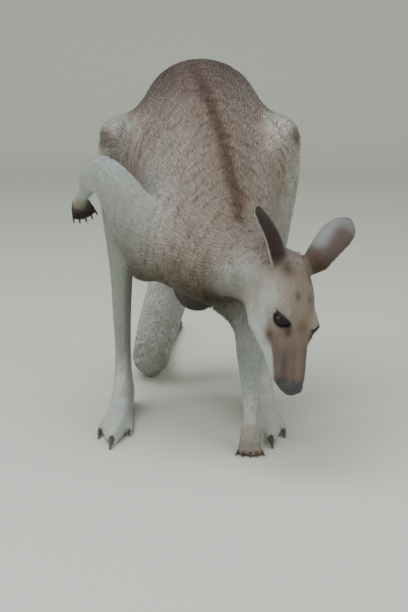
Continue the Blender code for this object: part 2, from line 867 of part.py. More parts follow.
def add_claws(nodes):
    for side in (LEFT, RIGHT):
        for name, limb, root, ahead, down, length, radius in claw_places(side):
            ahead = ahead.normalized()
            down = (down - ahead * ahead.dot(down)).normalized()
            combined(nodes[limb], claw(root, ahead, down, length, radius, CUT_GAP), "DIFFERENCE")
            made = claw(root, ahead, down, length, radius)
            made.name = name
            nodes[name] = made


def add_eyes(nodes):
    _, ahead, left, brow = head_axes()
    for side, word in ((LEFT, "left"), (RIGHT, "right")):
        r = EYE_RADIUS
        combined(nodes["head"], ellipsoid(eye_centre(side), (ahead, left, brow), (r, r, r), CUT_GAP), "DIFFERENCE")
        mesh = bpy.data.meshes.new(f"eye_{word}")
        bm = bmesh.new()
        bmesh.ops.create_uvsphere(
            bm, u_segments=12, v_segments=8, radius=r, matrix=Matrix.Translation(eye_centre(side))
        )
        bm.to_mesh(mesh)
        bm.free()
        nodes[f"eye_{word}"] = link(f"eye_{word}", mesh)


def add_ears(nodes):
    for side, word in ((LEFT, "left"), (RIGHT, "right")):
        made = ear(side)
        for flesh in ("head", "neck"):
            combined(made, swollen(nodes[flesh], CUT_GAP), "DIFFERENCE")
        made.name = f"ear_{word}"
        nodes[made.name] = largest_piece(made)


# ---------------------------------------------------------------- assembly

COLOURS = {
    "coat": (0.42, 0.36, 0.31, 1),
    "pale": (0.62, 0.60, 0.55, 1),
    "face": (0.36, 0.25, 0.20, 1),
    "dark": (0.10, 0.07, 0.06, 1),
    "eye": (0.02, 0.015, 0.012, 1),
}


def colour_of(name):
    if "claw" in name or name == "nose" or name == "hand_right":
        return COLOURS["dark"]
    if name.startswith("eye"):
        return COLOURS["eye"]
    if name.startswith(("head", "ear", "pouch")):
        return COLOURS["face"]
    if name.startswith(("shank", "foot", "forearm", "hand", "lower_jaw", "upper_arm")):
        return COLOURS["pale"]
    return COLOURS["coat"]


def finish(node):
    """Gives a node its own material and clean outward faces."""
    bm = bmesh.new()
    bm.from_mesh(node.data)
    bmesh.ops.remove_doubles(bm, verts=bm.verts, dist=2e-5)
    bmesh.ops.dissolve_degenerate(bm, edges=bm.edges, dist=1e-5)
    face_outward(bm)
    bm.to_mesh(node.data)
    bm.free()
    node.data.name = node.name
    paint = bpy.data.materials.new(node.name)
    paint.use_nodes = True
    surface = paint.node_tree.nodes["Principled BSDF"]
    surface.inputs["Base Color"].default_value = colour_of(node.name)
    surface.inputs["Roughness"].default_value = 0.3 if node.name.startswith("eye") else 0.85
    node.data.materials.clear()
    node.data.materials.append(paint)


def simplified(body, triangles):
    """Fewer triangles, which stay densest where the shape bends most."""
    total = sum(len(face.vertices) - 2 for face in body.data.polygons)
    fewer = body.modifiers.new("Fewer", "DECIMATE")
    fewer.ratio = triangles / total
    fewer.use_collapse_triangulate = True
    return baked(body)


def flat_soles(body):
    """Slices off the lowest few millimetres, which leaves the level flats she stands on."""
    tool = box(Vector((0, 0, PAD_PRESS)), Vector((0, 0, -1)), 0.2, Y, 2.0, 2.0, 2.0, 0.0)
    return combined(body, tool, "DIFFERENCE")


for old in list(bpy.data.objects):
    bpy.data.objects.remove(old)

masses = [trunk(), pouch(), neck(), tail(), *shoulders(), *head_flesh()]
for side in (LEFT, RIGHT):
    masses += arm(side) + hand_flesh(side)
body = fused(joined("body", masses), FINE_VOXEL, 6)
body = flat_soles(simplified(body, BODY_TRIANGLES))
legs = {}
for side in (LEFT, RIGHT):
    leg = fused(joined("leg", hind_leg(side)), FINE_VOXEL, 6)
    legs[side] = flat_soles(simplified(leg, LEG_TRIANGLES))

leg_parts = [node for side in (LEFT, RIGHT) for node in part_leg(legs[side], side, body)]
nodes = part_body(body)
nodes.update((node.name, node) for node in leg_parts)
add_claws(nodes)
add_eyes(nodes)
add_ears(nodes)

corners = np.array([vert.co for node in nodes.values() for vert in node.data.vertices])
low, high = corners.min(axis=0), corners.max(axis=0)
MOVED = Vector((-(low[0] + high[0]) / 2, -(low[1] + high[1]) / 2, -low[2]))
for node in nodes.values():
    node.data.transform(Matrix.Translation(MOVED))
    finish(node)

total = 0
for name in sorted(nodes):
    faces = sum(len(face.vertices) - 2 for face in nodes[name].data.polygons)
    total += faces
    print(f"{name}: {faces} triangles")
print("nodes:", len(nodes), "triangles:", total)
print("size (m):", [round(float(v), 3) for v in high - low], "moved by", [round(v, 4) for v in MOVED])
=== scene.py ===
# %% [markdown]
# # A grazing eastern grey kangaroo
# A life-size female stands on her hind feet, tail and left hand, and lifts her bent right arm.
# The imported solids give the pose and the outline, out to the tips of the coat. Here she gets one
# skin, set in by the depth of the coat, then fur of solid tufts, wet eyes, horn claws and light.

# %% Load the frame and keep the size of the solids
import json
import math
import time

import bmesh
import bpy
import numpy as np
from mathutils import Matrix, Vector
from mathutils.bvhtree import BVHTree

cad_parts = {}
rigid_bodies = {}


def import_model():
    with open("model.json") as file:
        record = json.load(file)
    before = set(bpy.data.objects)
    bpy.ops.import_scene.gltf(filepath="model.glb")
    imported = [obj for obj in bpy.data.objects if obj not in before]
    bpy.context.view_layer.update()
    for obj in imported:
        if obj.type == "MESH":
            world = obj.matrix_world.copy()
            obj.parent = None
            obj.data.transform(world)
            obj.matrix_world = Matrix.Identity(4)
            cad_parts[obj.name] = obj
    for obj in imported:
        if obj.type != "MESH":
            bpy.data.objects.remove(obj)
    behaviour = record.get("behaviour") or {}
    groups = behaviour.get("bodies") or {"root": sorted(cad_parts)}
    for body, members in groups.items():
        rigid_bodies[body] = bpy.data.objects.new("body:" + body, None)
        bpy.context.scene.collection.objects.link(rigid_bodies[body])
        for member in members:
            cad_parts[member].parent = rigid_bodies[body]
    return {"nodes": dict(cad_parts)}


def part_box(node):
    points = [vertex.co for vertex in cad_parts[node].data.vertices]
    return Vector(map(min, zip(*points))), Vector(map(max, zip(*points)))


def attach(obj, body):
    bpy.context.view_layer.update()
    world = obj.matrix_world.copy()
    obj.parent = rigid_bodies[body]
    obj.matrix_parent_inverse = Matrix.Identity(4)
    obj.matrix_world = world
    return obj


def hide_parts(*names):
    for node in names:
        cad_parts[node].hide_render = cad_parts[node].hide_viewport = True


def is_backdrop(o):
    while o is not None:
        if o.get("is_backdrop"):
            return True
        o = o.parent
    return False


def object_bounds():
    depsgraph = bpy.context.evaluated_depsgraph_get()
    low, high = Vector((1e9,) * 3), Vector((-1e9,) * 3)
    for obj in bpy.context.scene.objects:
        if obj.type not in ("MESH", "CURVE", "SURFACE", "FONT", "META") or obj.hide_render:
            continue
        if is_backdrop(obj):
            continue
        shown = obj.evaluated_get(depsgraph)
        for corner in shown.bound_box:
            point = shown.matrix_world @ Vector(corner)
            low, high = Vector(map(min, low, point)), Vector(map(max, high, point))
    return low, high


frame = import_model()
solid_low, solid_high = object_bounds()
started = time.perf_counter()
print("solids:", [round(v, 3) for v in solid_high - solid_low], "m,", len(frame["nodes"]), "nodes")

# %% [markdown]
# ## Small helpers
# Every colour below is written as a plain web colour, and one function turns it into the linear
# light values that Blender's shaders work in. Meshes are handled as arrays of points, because a
# skin of a hundred thousand points is too slow to walk one by one.

# %% Helpers for colours and point arrays


def clock():
    return f"{time.perf_counter() - started:.1f} s"


def linear(web):
    """A web colour such as '#8a7b70' as linear red, green and blue."""
    srgb = np.array([int(web[i : i + 2], 16) for i in (1, 3, 5)]) / 255.0
    return np.where(srgb <= 0.04045, srgb / 12.92, ((srgb + 0.055) / 1.055) ** 2.4)


def points_of(mesh):
    co = np.zeros(len(mesh.vertices) * 3, np.float32)
    mesh.vertices.foreach_get("co", co)
    return co.reshape(-1, 3).astype(float)


def put_points(mesh, co):
    mesh.vertices.foreach_set("co", co.astype(np.float32).ravel())
    mesh.update()


def edges_of(mesh):
    pairs = np.zeros(len(mesh.edges) * 2, np.int32)
    mesh.edges.foreach_get("vertices", pairs)
    return pairs.reshape(-1, 2)


def normals_of(mesh):
    n = np.zeros(len(mesh.vertices) * 3, np.float32)
    mesh.vertex_normals.foreach_get("vector", n)
    return n.reshape(-1, 3).astype(float)


def unit(v):
    """Vectors of length 1: a single one, or one in each row."""
    size = np.linalg.norm(v) if v.ndim == 1 else np.linalg.norm(v, axis=1)[:, None].clip(1e-9)
    return v / size


def square_to(axis, v):
    """The unit vector square to an axis that lies nearest to v."""
    return unit(v - axis * v.dot(axis))


def spread_out(values, pairs, rounds, share=0.5, weight=None):
    """Averages each point's values with its neighbours', so that a hard border turns soft."""
    values = np.array(values, float)
    flat = values.reshape(len(values), -1)
    count = np.bincount(pairs.ravel(), minlength=len(flat)).clip(1)
    step = share if weight is None else (share * weight)[:, None]
    for _ in range(rounds):
        mean = np.zeros(flat.shape)
        for k, column in enumerate(flat.T):
            sums = [np.bincount(pairs[:, a], column[pairs[:, b]], len(flat)) for a, b in ((0, 1), (1, 0))]
            mean[:, k] = (sums[0] + sums[1]) / count
        flat = flat + (mean - flat) * step
    return flat.reshape(values.shape)


def in_scene(name, data):
    """A new object in the scene, made of this mesh, light or camera."""
    made = bpy.data.objects.new(name, data)
    bpy.context.scene.collection.objects.link(made)
    return made


def mesh_from(work, name):
    """A new mesh from one that was being worked on, which then goes."""
    mesh = bpy.data.meshes.new(name)
    work.to_mesh(mesh)
    work.free()
    return mesh


def baked_copy(holder, name):
    """A plain mesh object made from an object with its modifiers, which then goes."""
    graph = bpy.context.evaluated_depsgraph_get()
    mesh = bpy.data.meshes.new_from_object(holder.evaluated_get(graph))
    mesh.name = name
    made = in_scene(name, mesh)
    bpy.data.objects.remove(holder)
    return made


def ramp(x, low, high):
    """0 below low, 1 above high, and smooth between."""
    t = np.clip((x - low) / (high - low), 0.0, 1.0)
    return t * t * (3 - 2 * t)


# %% [markdown]
# ## The skin
# Under the fur, one skin runs over the whole animal with no seam. The solids are cut into named
# pieces, so copies of the flesh are swollen by half a millimetre to close the cuts, joined, and
# wrapped in one skin by a voxel remesh, as clay is pressed over an armature. The eyeballs are
# wrapped too, because lids lie over them, and a small bead at each claw's root gives it a cuticle.

# %% Join the flesh, the eyeballs and the claw beads
CLAWS = ("great_claw_", "outer_claw_", "comb_claw_", "finger_claw_")
claw_names = [n for n in sorted(frame["nodes"]) if n.startswith(CLAWS)]
eye_names = ["eye_left", "eye_right"]
flesh_names = [n for n in sorted(frame["nodes"]) if n not in claw_names + eye_names]
CLOSE_CUTS = 0.0005  # metres each piece is swollen by
GRAIN = 0.0019  # metres, the voxels of the wrap


def middle(name):
    low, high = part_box(name)
    return np.array((low + high) / 2)


def claw_line(name):
    """(root, tip, radius at the root) of a claw's solid."""
    co = points_of(frame["nodes"][name].data)
    side = name.split("_")[-1]
    limb = middle(("hand_" if "finger" in name else "foot_") + side)
    if "finger" not in name:  # a foot is long, so its claws are measured from the heel's end
        limb[1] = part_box("foot_" + side)[1].y
    tip = co[np.argmax(np.linalg.norm(co - limb, axis=1))]
    far = np.linalg.norm(co - tip, axis=1)
    base = co[far > far.max() * 0.82]
    root = base.mean(0)
    return root, tip, float(np.linalg.norm(base - root, axis=1).max())


joined = bmesh.new()


def add_swollen(data):
    piece = bmesh.new()
    piece.from_mesh(data)
    bmesh.ops.remove_doubles(piece, verts=piece.verts, dist=1e-6)
    piece.normal_update()
    for vert in piece.verts:
        vert.co += vert.normal * CLOSE_CUTS
    loose = mesh_from(piece, "loose")
    joined.from_mesh(loose)
    bpy.data.meshes.remove(loose)


for name in flesh_names + eye_names:
    add_swollen(frame["nodes"][name].data)
for name in claw_names:
    root, tip, radius = claw_line(name)
    bead = Vector(root + (root - tip) * 0.10)
    at_bead = Matrix.Translation(bead)
    bmesh.ops.create_icosphere(joined, subdivisions=2, radius=radius * 1.02, matrix=at_bead)
skin = in_scene("skin", mesh_from(joined, "skin"))
print("joined", len(flesh_names), "flesh pieces and", len(claw_names), "claw beads")

# %% Wrap them in one skin and keep it fine on the head, ears and hands
FINE = {"head": 0.004, "ear_left": 0.004, "ear_right": 0.004, "hand_left": 0.002, "hand_right": 0.002}
FACET_ROUNDS = 90  # rounds of smoothing that take the solids' facets away
KEPT = 0.145  # share of the wrap's faces that stays where it needn't be fine


def out_of_box(name):
    """How far each point lies outside the box of a named solid."""
    low, high = (np.array(corner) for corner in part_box(name))
    return np.linalg.norm(np.maximum(np.maximum(low - place, place - high), 0), axis=1)


wrap = skin.modifiers.new("Wrap", "REMESH")
wrap.mode = "VOXEL"
wrap.voxel_size = GRAIN
settle = skin.modifiers.new("Settle", "SMOOTH")
settle.factor = 0.5
settle.iterations = 5
skin = baked_copy(skin, "skin")
place = points_of(skin.data)
fine = np.zeros(len(place), bool)
for name, room in FINE.items():
    low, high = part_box(name)
    fine |= np.all((place > np.array(low) - room) & (place < np.array(high) + room), axis=1)
coarse = skin.vertex_groups.new(name="coarse")
coarse.add([int(i) for i in np.flatnonzero(~fine)], 1.0, "REPLACE")
away = np.min([out_of_box(name) for name in FINE], axis=0)
softness = (0.25 + 0.75 * ramp(place[:, 2], 0.10, 0.26)) * (0.06 + 0.94 * ramp(away, 0.0, 0.05))
loose = skin.vertex_groups.new(name="loose")
for level in range(1, 17):
    chosen = np.flatnonzero(np.round(softness * 16) == level)
    loose.add([int(i) for i in chosen], level / 16, "REPLACE")
facets = skin.modifiers.new("Facets", "SMOOTH")
facets.factor = 0.5
facets.iterations = FACET_ROUNDS
facets.vertex_group = "loose"
fewer = skin.modifiers.new("Fewer", "DECIMATE")
fewer.ratio = KEPT
fewer.vertex_group = "coarse"
fewer.use_collapse_triangulate = True
print("wrapped skin:", len(place), "points, of which fine", int(fine.sum()))
skin = baked_copy(skin, "skin")
skin.vertex_groups.clear()

# %% Clear away slivers, stray points and any crumb that isn't joined to the body
work = bmesh.new()
work.from_mesh(skin.data)
bmesh.ops.dissolve_degenerate(work, edges=work.edges, dist=1e-5)
bmesh.ops.triangulate(work, faces=[f for f in work.faces if len(f.verts) > 3])
waiting, islands = set(work.verts), []
while waiting:
    island, edge = set(), [waiting.pop()]
    while edge:
        vert = edge.pop()
        island.add(vert)
        for line in vert.link_edges:
            other = line.other_vert(vert)
            if other in waiting:
                waiting.discard(other)
                edge.append(other)
    islands.append(island)
body = max(islands, key=len)
crumbs = [v for island in islands if island is not body for v in island]
bmesh.ops.delete(work, geom=crumbs, context="VERTS")
work.to_mesh(skin.data)
work.free()
place = points_of(skin.data)
print("skin:", len(place), "points,", len(crumbs), "stray,", clock())

# %% [markdown]
# ## Which part of the body a point belongs to
# Each point of the skin takes the name of the nearest solid. Those shares are then spread along the
# skin, so that depth, hair length and colour change gradually from neck to shoulder or knee to shin.

# %% Shares of the named parts at every point
corners, faces, owner = [], [], []
for name in flesh_names + eye_names:
    number = flesh_names.index(name if name in flesh_names else "head")
    solid = frame["nodes"][name].data
    first = len(corners)
    corners += [v.co.copy() for v in solid.vertices]
    faces += [[first + i for i in p.vertices] for p in solid.polygons]
    owner += [number] * len(solid.polygons)
solids = BVHTree.FromPolygons(corners, faces)
place = points_of(skin.data)
near = np.array([owner[solids.find_nearest(Vector(p))[2]] for p in place])
pairs = edges_of(skin.data)
share = np.eye(len(flesh_names))[near]
share = spread_out(share, pairs, 12)


def part(*names):
    """How much each point belongs to these named parts, from 0 to 1."""
    return sum(share[:, k] for k, n in enumerate(flesh_names) if n.startswith(names))


print("points by part:", {n: int((near == k).sum()) for k, n in enumerate(flesh_names)})

# %% [markdown]
# ## Smooth flesh, set in by the coat's depth
# The solids reach to the tips of the hair, so the skin goes in by the depth of the flat-lying coat:
# over three millimetres on the back and neck, one or two on face and limbs, nothing on the bare nose
# and on the soles that carry her.

# %% Smooth the flesh and set it in
SMOOTHING = {
    "trunk": 0.6, "neck": 1.0, "pouch": 0.8, "tail": 0.5, "thigh": 0.6, "shank": 0.3, "foot": 0.2,
    "upper_arm": 0.6, "forearm": 0.4, "hand": 0.3, "head": 0.9, "lower_jaw": 0.8, "nose": 0.5, "ear": 0.1,
}
DEPTH = {  # millimetres
    "trunk": 3.2, "neck": 3.6, "pouch": 3.0, "tail_base": 3.0, "tail_middle": 2.6, "tail_tip": 2.4,
    "thigh": 3.2, "shank": 1.7, "foot": 1.3, "upper_arm": 2.4, "forearm": 1.9, "hand": 1.2,
    "head": 1.9, "lower_jaw": 1.8, "nose": 0.2, "ear": 0.6,
}
ON_THE_FLOOR = 0.0004  # metres that the soles' skin lies over the floor
smoothing = sum(part(n) * s for n, s in SMOOTHING.items())
depth = sum(part(n) * d / 1000 for n, d in DEPTH.items())
floor_flat = place[:, 2] < 0.003
place = spread_out(place, pairs, 16, 0.5, smoothing)
crease = spread_out(np.clip(6 * part("thigh") * part("trunk"), 0, 1), pairs, 12)
crease = np.clip(crease * 1.6, 0, 1) * ramp(place[:, 2], 0.16, 0.24)
# fur fills the folds at the thighs, arms, wrists and ankles
cuffs = part("shank") * part("foot") + part("forearm") * part("hand") + part("upper_arm") * part("trunk")
cuffs = np.clip(6 * cuffs, 0, 1)
crease = np.maximum(crease, 0.7 * np.clip(spread_out(cuffs, pairs, 10) * 1.6, 0, 1))
place = spread_out(place, pairs, 70, 0.5, crease)
put_points(skin.data, place)
facing = unit(spread_out(normals_of(skin.data), pairs, 4))
place = place - facing * depth[:, None]
place[floor_flat, 2] = ON_THE_FLOOR
place[:, 2] = place[:, 2].clip(ON_THE_FLOOR)
place = spread_out(place, pairs, 3, 0.4, np.where(floor_flat, 0.0, 1.0))
put_points(skin.data, place)
print(f"skin set in by {depth.min() * 1000:.1f} to {depth.max() * 1000:.1f} mm")

# %% [markdown]
# ## The face
# A sculptor works the head in its own directions: ahead to the nose, aside to her left, and out of
# the brow. The same three are found here from the eyeballs and the nose, and every fold of the face
# is a named push or pull in them: lids round each eye, the brow bone, the whisker pads, the mouth
# and the nostrils. Points close to the eyes, nose and mouth are made denser first.

# %% The head's own directions
eye_at = {1: middle("eye_left"), -1: middle("eye_right")}
ball = (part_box("eye_left")[1].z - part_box("eye_left")[0].z) / 2
between_eyes = (eye_at[1] + eye_at[-1]) / 2
aside = unit(eye_at[1] - eye_at[-1])
ahead = square_to(aside, middle("nose") - between_eyes)
out_of_brow = np.cross(ahead, aside)


def head_frame(p):
    """Points as (ahead, aside, out of the brow) from between the eyes."""
    rel = p - between_eyes
    return np.stack([rel @ ahead, rel @ aside, rel @ out_of_brow], 1)


def from_head(a, s, b):
    return between_eyes + ahead * a + aside * s + out_of_brow * b


nose_ahead = head_frame(np.array([middle("nose")]))[0, 0]
print(f"eyeball radius {ball * 1000:.1f} mm, nose {nose_ahead * 1000:.0f} mm ahead")

# %% Denser points round the eyes, the nose and the mouth
eyes_at = [(Vector(at), 1.0) for at in eye_at.values()]  # each with how much wider it reaches
nose_end = (Vector(from_head(0.088, 0, -0.006)), 1.35)


def near_one(point, reach, centres):
    return any((point - centre).length < reach * wider for centre, wider in centres)


work = bmesh.new()
work.from_mesh(skin.data)
for reach, centres in ((0.0195, eyes_at + [nose_end]), (0.0165, eyes_at)):
    wanted = [edge for edge in work.edges if near_one(edge.verts[0].co, reach, centres)]
    bmesh.ops.subdivide_edges(work, edges=wanted, cuts=1, use_grid_fill=False)
    bmesh.ops.triangulate(work, faces=[f for f in work.faces if len(f.verts) > 3])
work.to_mesh(skin.data)
work.free()
place = points_of(skin.data)
pairs = edges_of(skin.data)
near = np.array([owner[solids.find_nearest(Vector(p))[2]] for p in place])
share = spread_out(np.eye(len(flesh_names))[near], pairs, 14)
print("skin:", len(place), "points")

# %% Lids, brow, whisker pads, mouth and nostrils
LID = 0.0013  # metres, how thick a lid lies on the eyeball
HEAVY_LID = 9  # degrees that the opening sits lower, because the upper lid hangs
EYE_DEEPER = 0.0030  # metres the eyeball sits in from the solid's
EYE_RADIUS = ball * 0.90


def eye_directions(side):
    """Unit vectors: the way the eye looks, its long axis to the inner corner, and across to the brow."""
    looks = unit(aside * side * 0.75 + out_of_brow * 0.50 + ahead * 0.40)
    inner = square_to(looks, ahead * 0.67 - aside * side * 0.53 + out_of_brow * 0.50)
    across = np.cross(looks, inner) * side
    return looks, inner, across * (1 if across.dot(out_of_brow) > 0 else -1)


def eye_centre(side):
    return eye_at[side] - eye_directions(side)[0] * EYE_DEEPER


def lid_edge(u):
    """Half height of the open eye, in degrees, at an angle u along it: pointed at both corners."""
    return 29 * np.clip(1 - (u / 68.0) ** 2, 0, 1) ** 0.80 * (1 - 0.12 * u / 68.0)


def push_along_normals(amount):
    global place
    put_points(skin.data, place)
    place = place + normals_of(skin.data) * np.asarray(amount)[:, None]


def bump_at(p, centre, radii):
    """1 at a centre in the head's directions, falling to 0 past its radii."""
    far = (head_frame(p) - np.array(centre)) / np.array(radii)
    return np.exp(-np.sum(far * far, 1) * 1.6)


FOLDS = {  # metres out or in, the centre on her left, and the radii
    "brow bone": (0.0036, (-0.003, 0.0235, 0.0110), (0.022, 0.009, 0.008)),
    "hollow before the eye": (-0.0022, (0.026, 0.026, 0.002), (0.016, 0.007, 0.008)),
    "cheek bone": (0.0018, (0.004, 0.036, -0.024), (0.026, 0.010, 0.010)),
    "side of the muzzle": (-0.0012, (0.052, 0.024, 0.001), (0.024, 0.010, 0.009)),
    "whisker pad": (0.0018, (0.083, 0.015, -0.008), (0.016, 0.008, 0.009)),
}
amount = np.zeros(len(place))
for side in (1, -1):
    for push, (a, s, b), radii in FOLDS.values():
        amount += push * bump_at(place, (a, s * side, b), radii)
amount *= part("head", "lower_jaw", "nose")
push_along_normals(amount)
h = head_frame(place)
on_face = part("head", "lower_jaw", "nose") > 0.5
for side in (1, -1):
    centre = eye_centre(side)
    looks, inner, across = eye_directions(side)
    rel = place - centre
    far = np.linalg.norm(rel, axis=1)
    way = rel / far[:, None]
    u = np.degrees(np.arctan2(way @ inner, way @ looks))
    v = np.degrees(np.arcsin(np.clip(way @ across, -1, 1))) + HEAVY_LID
    front = (way @ looks > -0.1) & (far < 0.030)
    edge = lid_edge(np.clip(u, -68, 68))
    open_eye = ramp(edge - np.abs(v) + 1.2, 0.0, 2.4) * (np.abs(u) < 69)
    lid_ring = EYE_RADIUS + LID + 0.0006 * np.exp(-(((np.abs(v) - edge - 5) / 5.0) ** 2))
    crease = 0.0012 * np.exp(-(((v - edge - 15) / 4.0) ** 2)) * (np.abs(u) < 70)
    wanted = np.maximum(far, lid_ring)
    wanted = wanted + (lid_ring - wanted) * ramp(30 - (np.abs(v) - edge), 0, 22) * (far < 0.019)
    wanted = wanted - crease
    wanted = wanted * (1 - open_eye) + (EYE_RADIUS - 0.0022) * open_eye
    blend = front * ramp(0.024 - far, 0, 0.006) * ramp(way @ looks, -0.05, 0.25)
    place = place + way * ((wanted - far) * blend)[:, None]
    print("eye", side, "points on the lids:", int((front & (open_eye > 0.2)).sum()))
h = head_frame(place)
amount = np.zeros(len(place))
snout = h[:, 0]
lip_line = (h[:, 2] + 0.0155 + 0.14 * (0.092 - snout)) / 0.0015
amount -= 0.0016 * np.exp(-(lip_line**2)) * ramp(snout, 0.036, 0.048)  # the closed mouth
cleft = 0.0011 * np.exp(-((h[:, 1] / 0.0013) ** 2))
amount -= cleft * ramp(snout, 0.090, 0.094) * ramp(0.004 - h[:, 2], 0, 0.004)
for side in (1, -1):
    nostril = bump_at(place, (0.0965, 0.0090 * side, 0.0000), (0.0042, 0.0030, 0.0034))
    amount -= 0.0042 * nostril
    amount += 0.0012 * bump_at(place, (0.0925, 0.0115 * side, 0.0045), (0.0050, 0.0040, 0.0040))
amount *= on_face
push_along_normals(amount)
put_points(skin.data, place)
print("face shaped,", clock())

# %% [markdown]
# ## The lie of the coat
# Hair grows away from the nose and away from the spine: back over the head, down the neck and back,
# out along the limbs and to the tail's end, and down the flanks. Two distances walked over the skin
# say this in numbers, one from the nose and one from the line of the spine. Their weighted sum is the
# coat's own height map, and hair lies the way in which it grows fastest.

# %% The line of the spine, from the nose to the tail


def in_box(name, fx, fy, fz):
    """A point at these fractions of a named solid's box."""
    low, high = (np.array(corner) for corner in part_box(name))
    return low + (high - low) * np.array((fx, fy, fz))


ON_THE_SKULL = ((0.092, 0, 0.010), (0.045, 0, 0.014), (0.0, 0, 0.014), (-0.05, 0, 0.008), (-0.08, 0, 0.0))
ON_THE_NECK = ((0.62, 0.40, 0.90), (0.43, 0.53, 0.90))
ON_THE_BACK = (
    (0.74, 0.13, 0.44), (0.69, 0.18, 0.55), (0.65, 0.23, 0.65), (0.60, 0.29, 0.77), (0.54, 0.35, 0.86),
    (0.47, 0.47, 0.95), (0.47, 0.58, 0.98), (0.50, 0.72, 0.96), (0.51, 0.87, 0.84), (0.51, 0.96, 0.62),
)
ON_THE_TAIL = ((0.70, 0.96, 0.93), (0.57, 0.91, 0.67), (0.43, 0.64, 0.40), (0.29, 0.56, 0.22))
stripe = [in_box("neck", *at) for at in ON_THE_NECK] + [in_box("trunk", *at) for at in ON_THE_BACK]
spine = [from_head(*at) for at in ON_THE_SKULL] + stripe
spine += [in_box("tail_base", *at) for at in ON_THE_TAIL] + [in_box("tail_middle", 0.30, 0.4, 1.0)]
spine += [in_box("tail_tip", 0.40, 0.1, 1.0), in_box("tail_tip", 0.80, 0.95, 1.0)]


def along_line(stops):
    """Distance of every point from a line through these stops."""
    best = np.full(len(place), 1.0)
    for a, b in zip(stops, stops[1:]):
        t = np.clip((place - a) @ (b - a) / (b - a).dot(b - a), 0, 1)[:, None]
        best = np.minimum(best, np.linalg.norm(place - (a + (b - a) * t), axis=1))
    return best


# %% Walk the skin from the nose and from the spine


def far_from(point):
    return np.linalg.norm(place - point, axis=1)


def walk_from(seeds):
    """Distance over the skin's edges from the nearest of these points."""
    i, j = pairs.T
    step = np.linalg.norm(place[i] - place[j], axis=1)
    far = np.full(len(place), np.inf)
    far[seeds] = 0.0
    for turn in range(1200):
        before = far.copy()
        np.minimum.at(far, j, before[i] + step)
        np.minimum.at(far, i, before[j] + step)
        if np.array_equal(far, before):
            break
    return spread_out(far, pairs, 25)


walked = walk_from([int(np.argmin(far_from(from_head(0.105, 0, 0))))])
from_spine = walk_from(np.flatnonzero(along_line(spine) < 0.012))
print(f"walked {walked.max():.2f} m from nose to tail tip, {from_spine.max():.2f} m down the flanks")

# %% The lie of the hair
FALL = {  # how strongly the hair turns away from the spine
    "trunk": 0.38, "neck": 0.50, "pouch": 0.3, "thigh": 0.55, "head": 0.45, "lower_jaw": 0.35,
    "upper_arm": 0.4, "tail": 0.25, "shank": 0.2, "forearm": 0.2,
}
fall = spread_out(sum(part(n) * f for n, f in FALL.items()), pairs, 30)
fall_now = fall * ramp(walked, 0.02, 0.10)
facing = unit(spread_out(normals_of(skin.data), pairs, 3))
i, j = pairs.T
run = place[j] - place[i]
length = np.linalg.norm(run, axis=1)


def uphill(values):
    """The direction over the skin in which these values grow."""
    pull = run * ((values[j] - values[i]) / (length**2).clip(1e-12))[:, None]
    ends = [[np.bincount(end, pull[:, k], len(place)) for end in (i, j)] for k in range(3)]
    return unit(np.stack([first + second for first, second in ends], 1))


def along_skin(ways):
    """These directions laid down on the skin."""
    return unit(ways - facing * np.sum(ways * facing, 1)[:, None])


lie = along_skin(spread_out(uphill(walked) + uphill(from_spine) * fall_now[:, None], pairs, 12))
combed = walked + 0.6 * from_spine
print(f"the coat falls by up to {fall_now.max():.2f} from the spine,", clock())

# %% [markdown]
# ## The markings
# An eastern grey's coat is grey-brown on the back and paler below, with nearly white arms and
# shins, dark hands, a reddish muzzle, dark ears, and a dark line along the spine. Each named part has
# its own colour here, the shares of the parts melt them together, and the line, bands and spots are
# added at places read from the parts' own boxes. Skin and hair both take this one colour map.

# %% Colours of the parts
COAT = {
    "trunk": "#7f7367", "neck": "#8a8075", "pouch": "#33251a", "tail_base": "#bfc3bb",
    "tail_middle": "#bcc0b8", "tail_tip": "#5b4f46", "thigh": "#b1aea4", "shank": "#a9afa6",
    "foot": "#bcc2b9", "upper_arm": "#a4aaa3", "forearm": "#c6cfc8", "hand_right": "#54422f",
    "hand_left": "#a09c91", "head": "#857769", "lower_jaw": "#b2b9b1", "nose": "#45464a",
    "ear_right": "#281a13", "ear_left": "#5d504a",
}
wide = spread_out(share, pairs, 26)
shade = np.zeros((len(place), 3))
for k, name in enumerate(flesh_names):
    key = next(c for c in COAT if name.startswith(c))
    shade += wide[:, k : k + 1] * linear(COAT[key])


def tint(mask, web):
    """Melts a colour into the coat where the mask is near 1."""
    global shade
    shade = shade + (linear(web) - shade) * np.clip(mask, 0, 1)[:, None]


def spot(centre, reach, soft=0.6):
    return 1 - ramp(far_from(centre), reach * (1 - soft), reach)


print("base colours from", len(COAT), "parts")

# %% The body: back, belly, dorsal line, knees and grooves
body = part("trunk", "neck")
low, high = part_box("trunk")
tall = (place[:, 2] - low.z) / (high.z - low.z)
x, y, z = place.T
downward = -facing[:, 2]
loins = body * ramp(from_spine, 0.02, 0.10) * ramp(tall, 0.35, 0.55) * (1 - ramp(tall, 0.72, 0.88))
shoulder = body * (1 - ramp(tall, 0.12, 0.42)) * ramp(-0.20 - y, 0, 0.08)
belly = part("trunk") * (1 - ramp(tall, 0.0, 0.25)) * ramp(y + 0.25, 0, 0.1)
shaded_throat = part("trunk", "neck", "upper_arm_left") * ramp(-0.27 - y, 0, 0.05) * ramp(downward, 0.22, 0.65)
shaded_inner_arm = part("upper_arm_left") * (1 - ramp(facing[:, 0], -0.2, 0.5)) * ramp(z, 0.16, 0.22)
tint(body * ramp(tall, 0.45, 0.95) * 0.50, "#7f7168")  # mauve-brown saddle over the rump
tint(loins * 0.70, "#9a958a")
tint(spot(in_box("trunk", 0.47, 0.55, 0.97), 0.200, 0.8) * 0.95, "#3a2b22")  # dark crown of the rump
tint(shoulder * 0.65, "#6b5f52")
tint(belly * 0.6, "#a9a195")
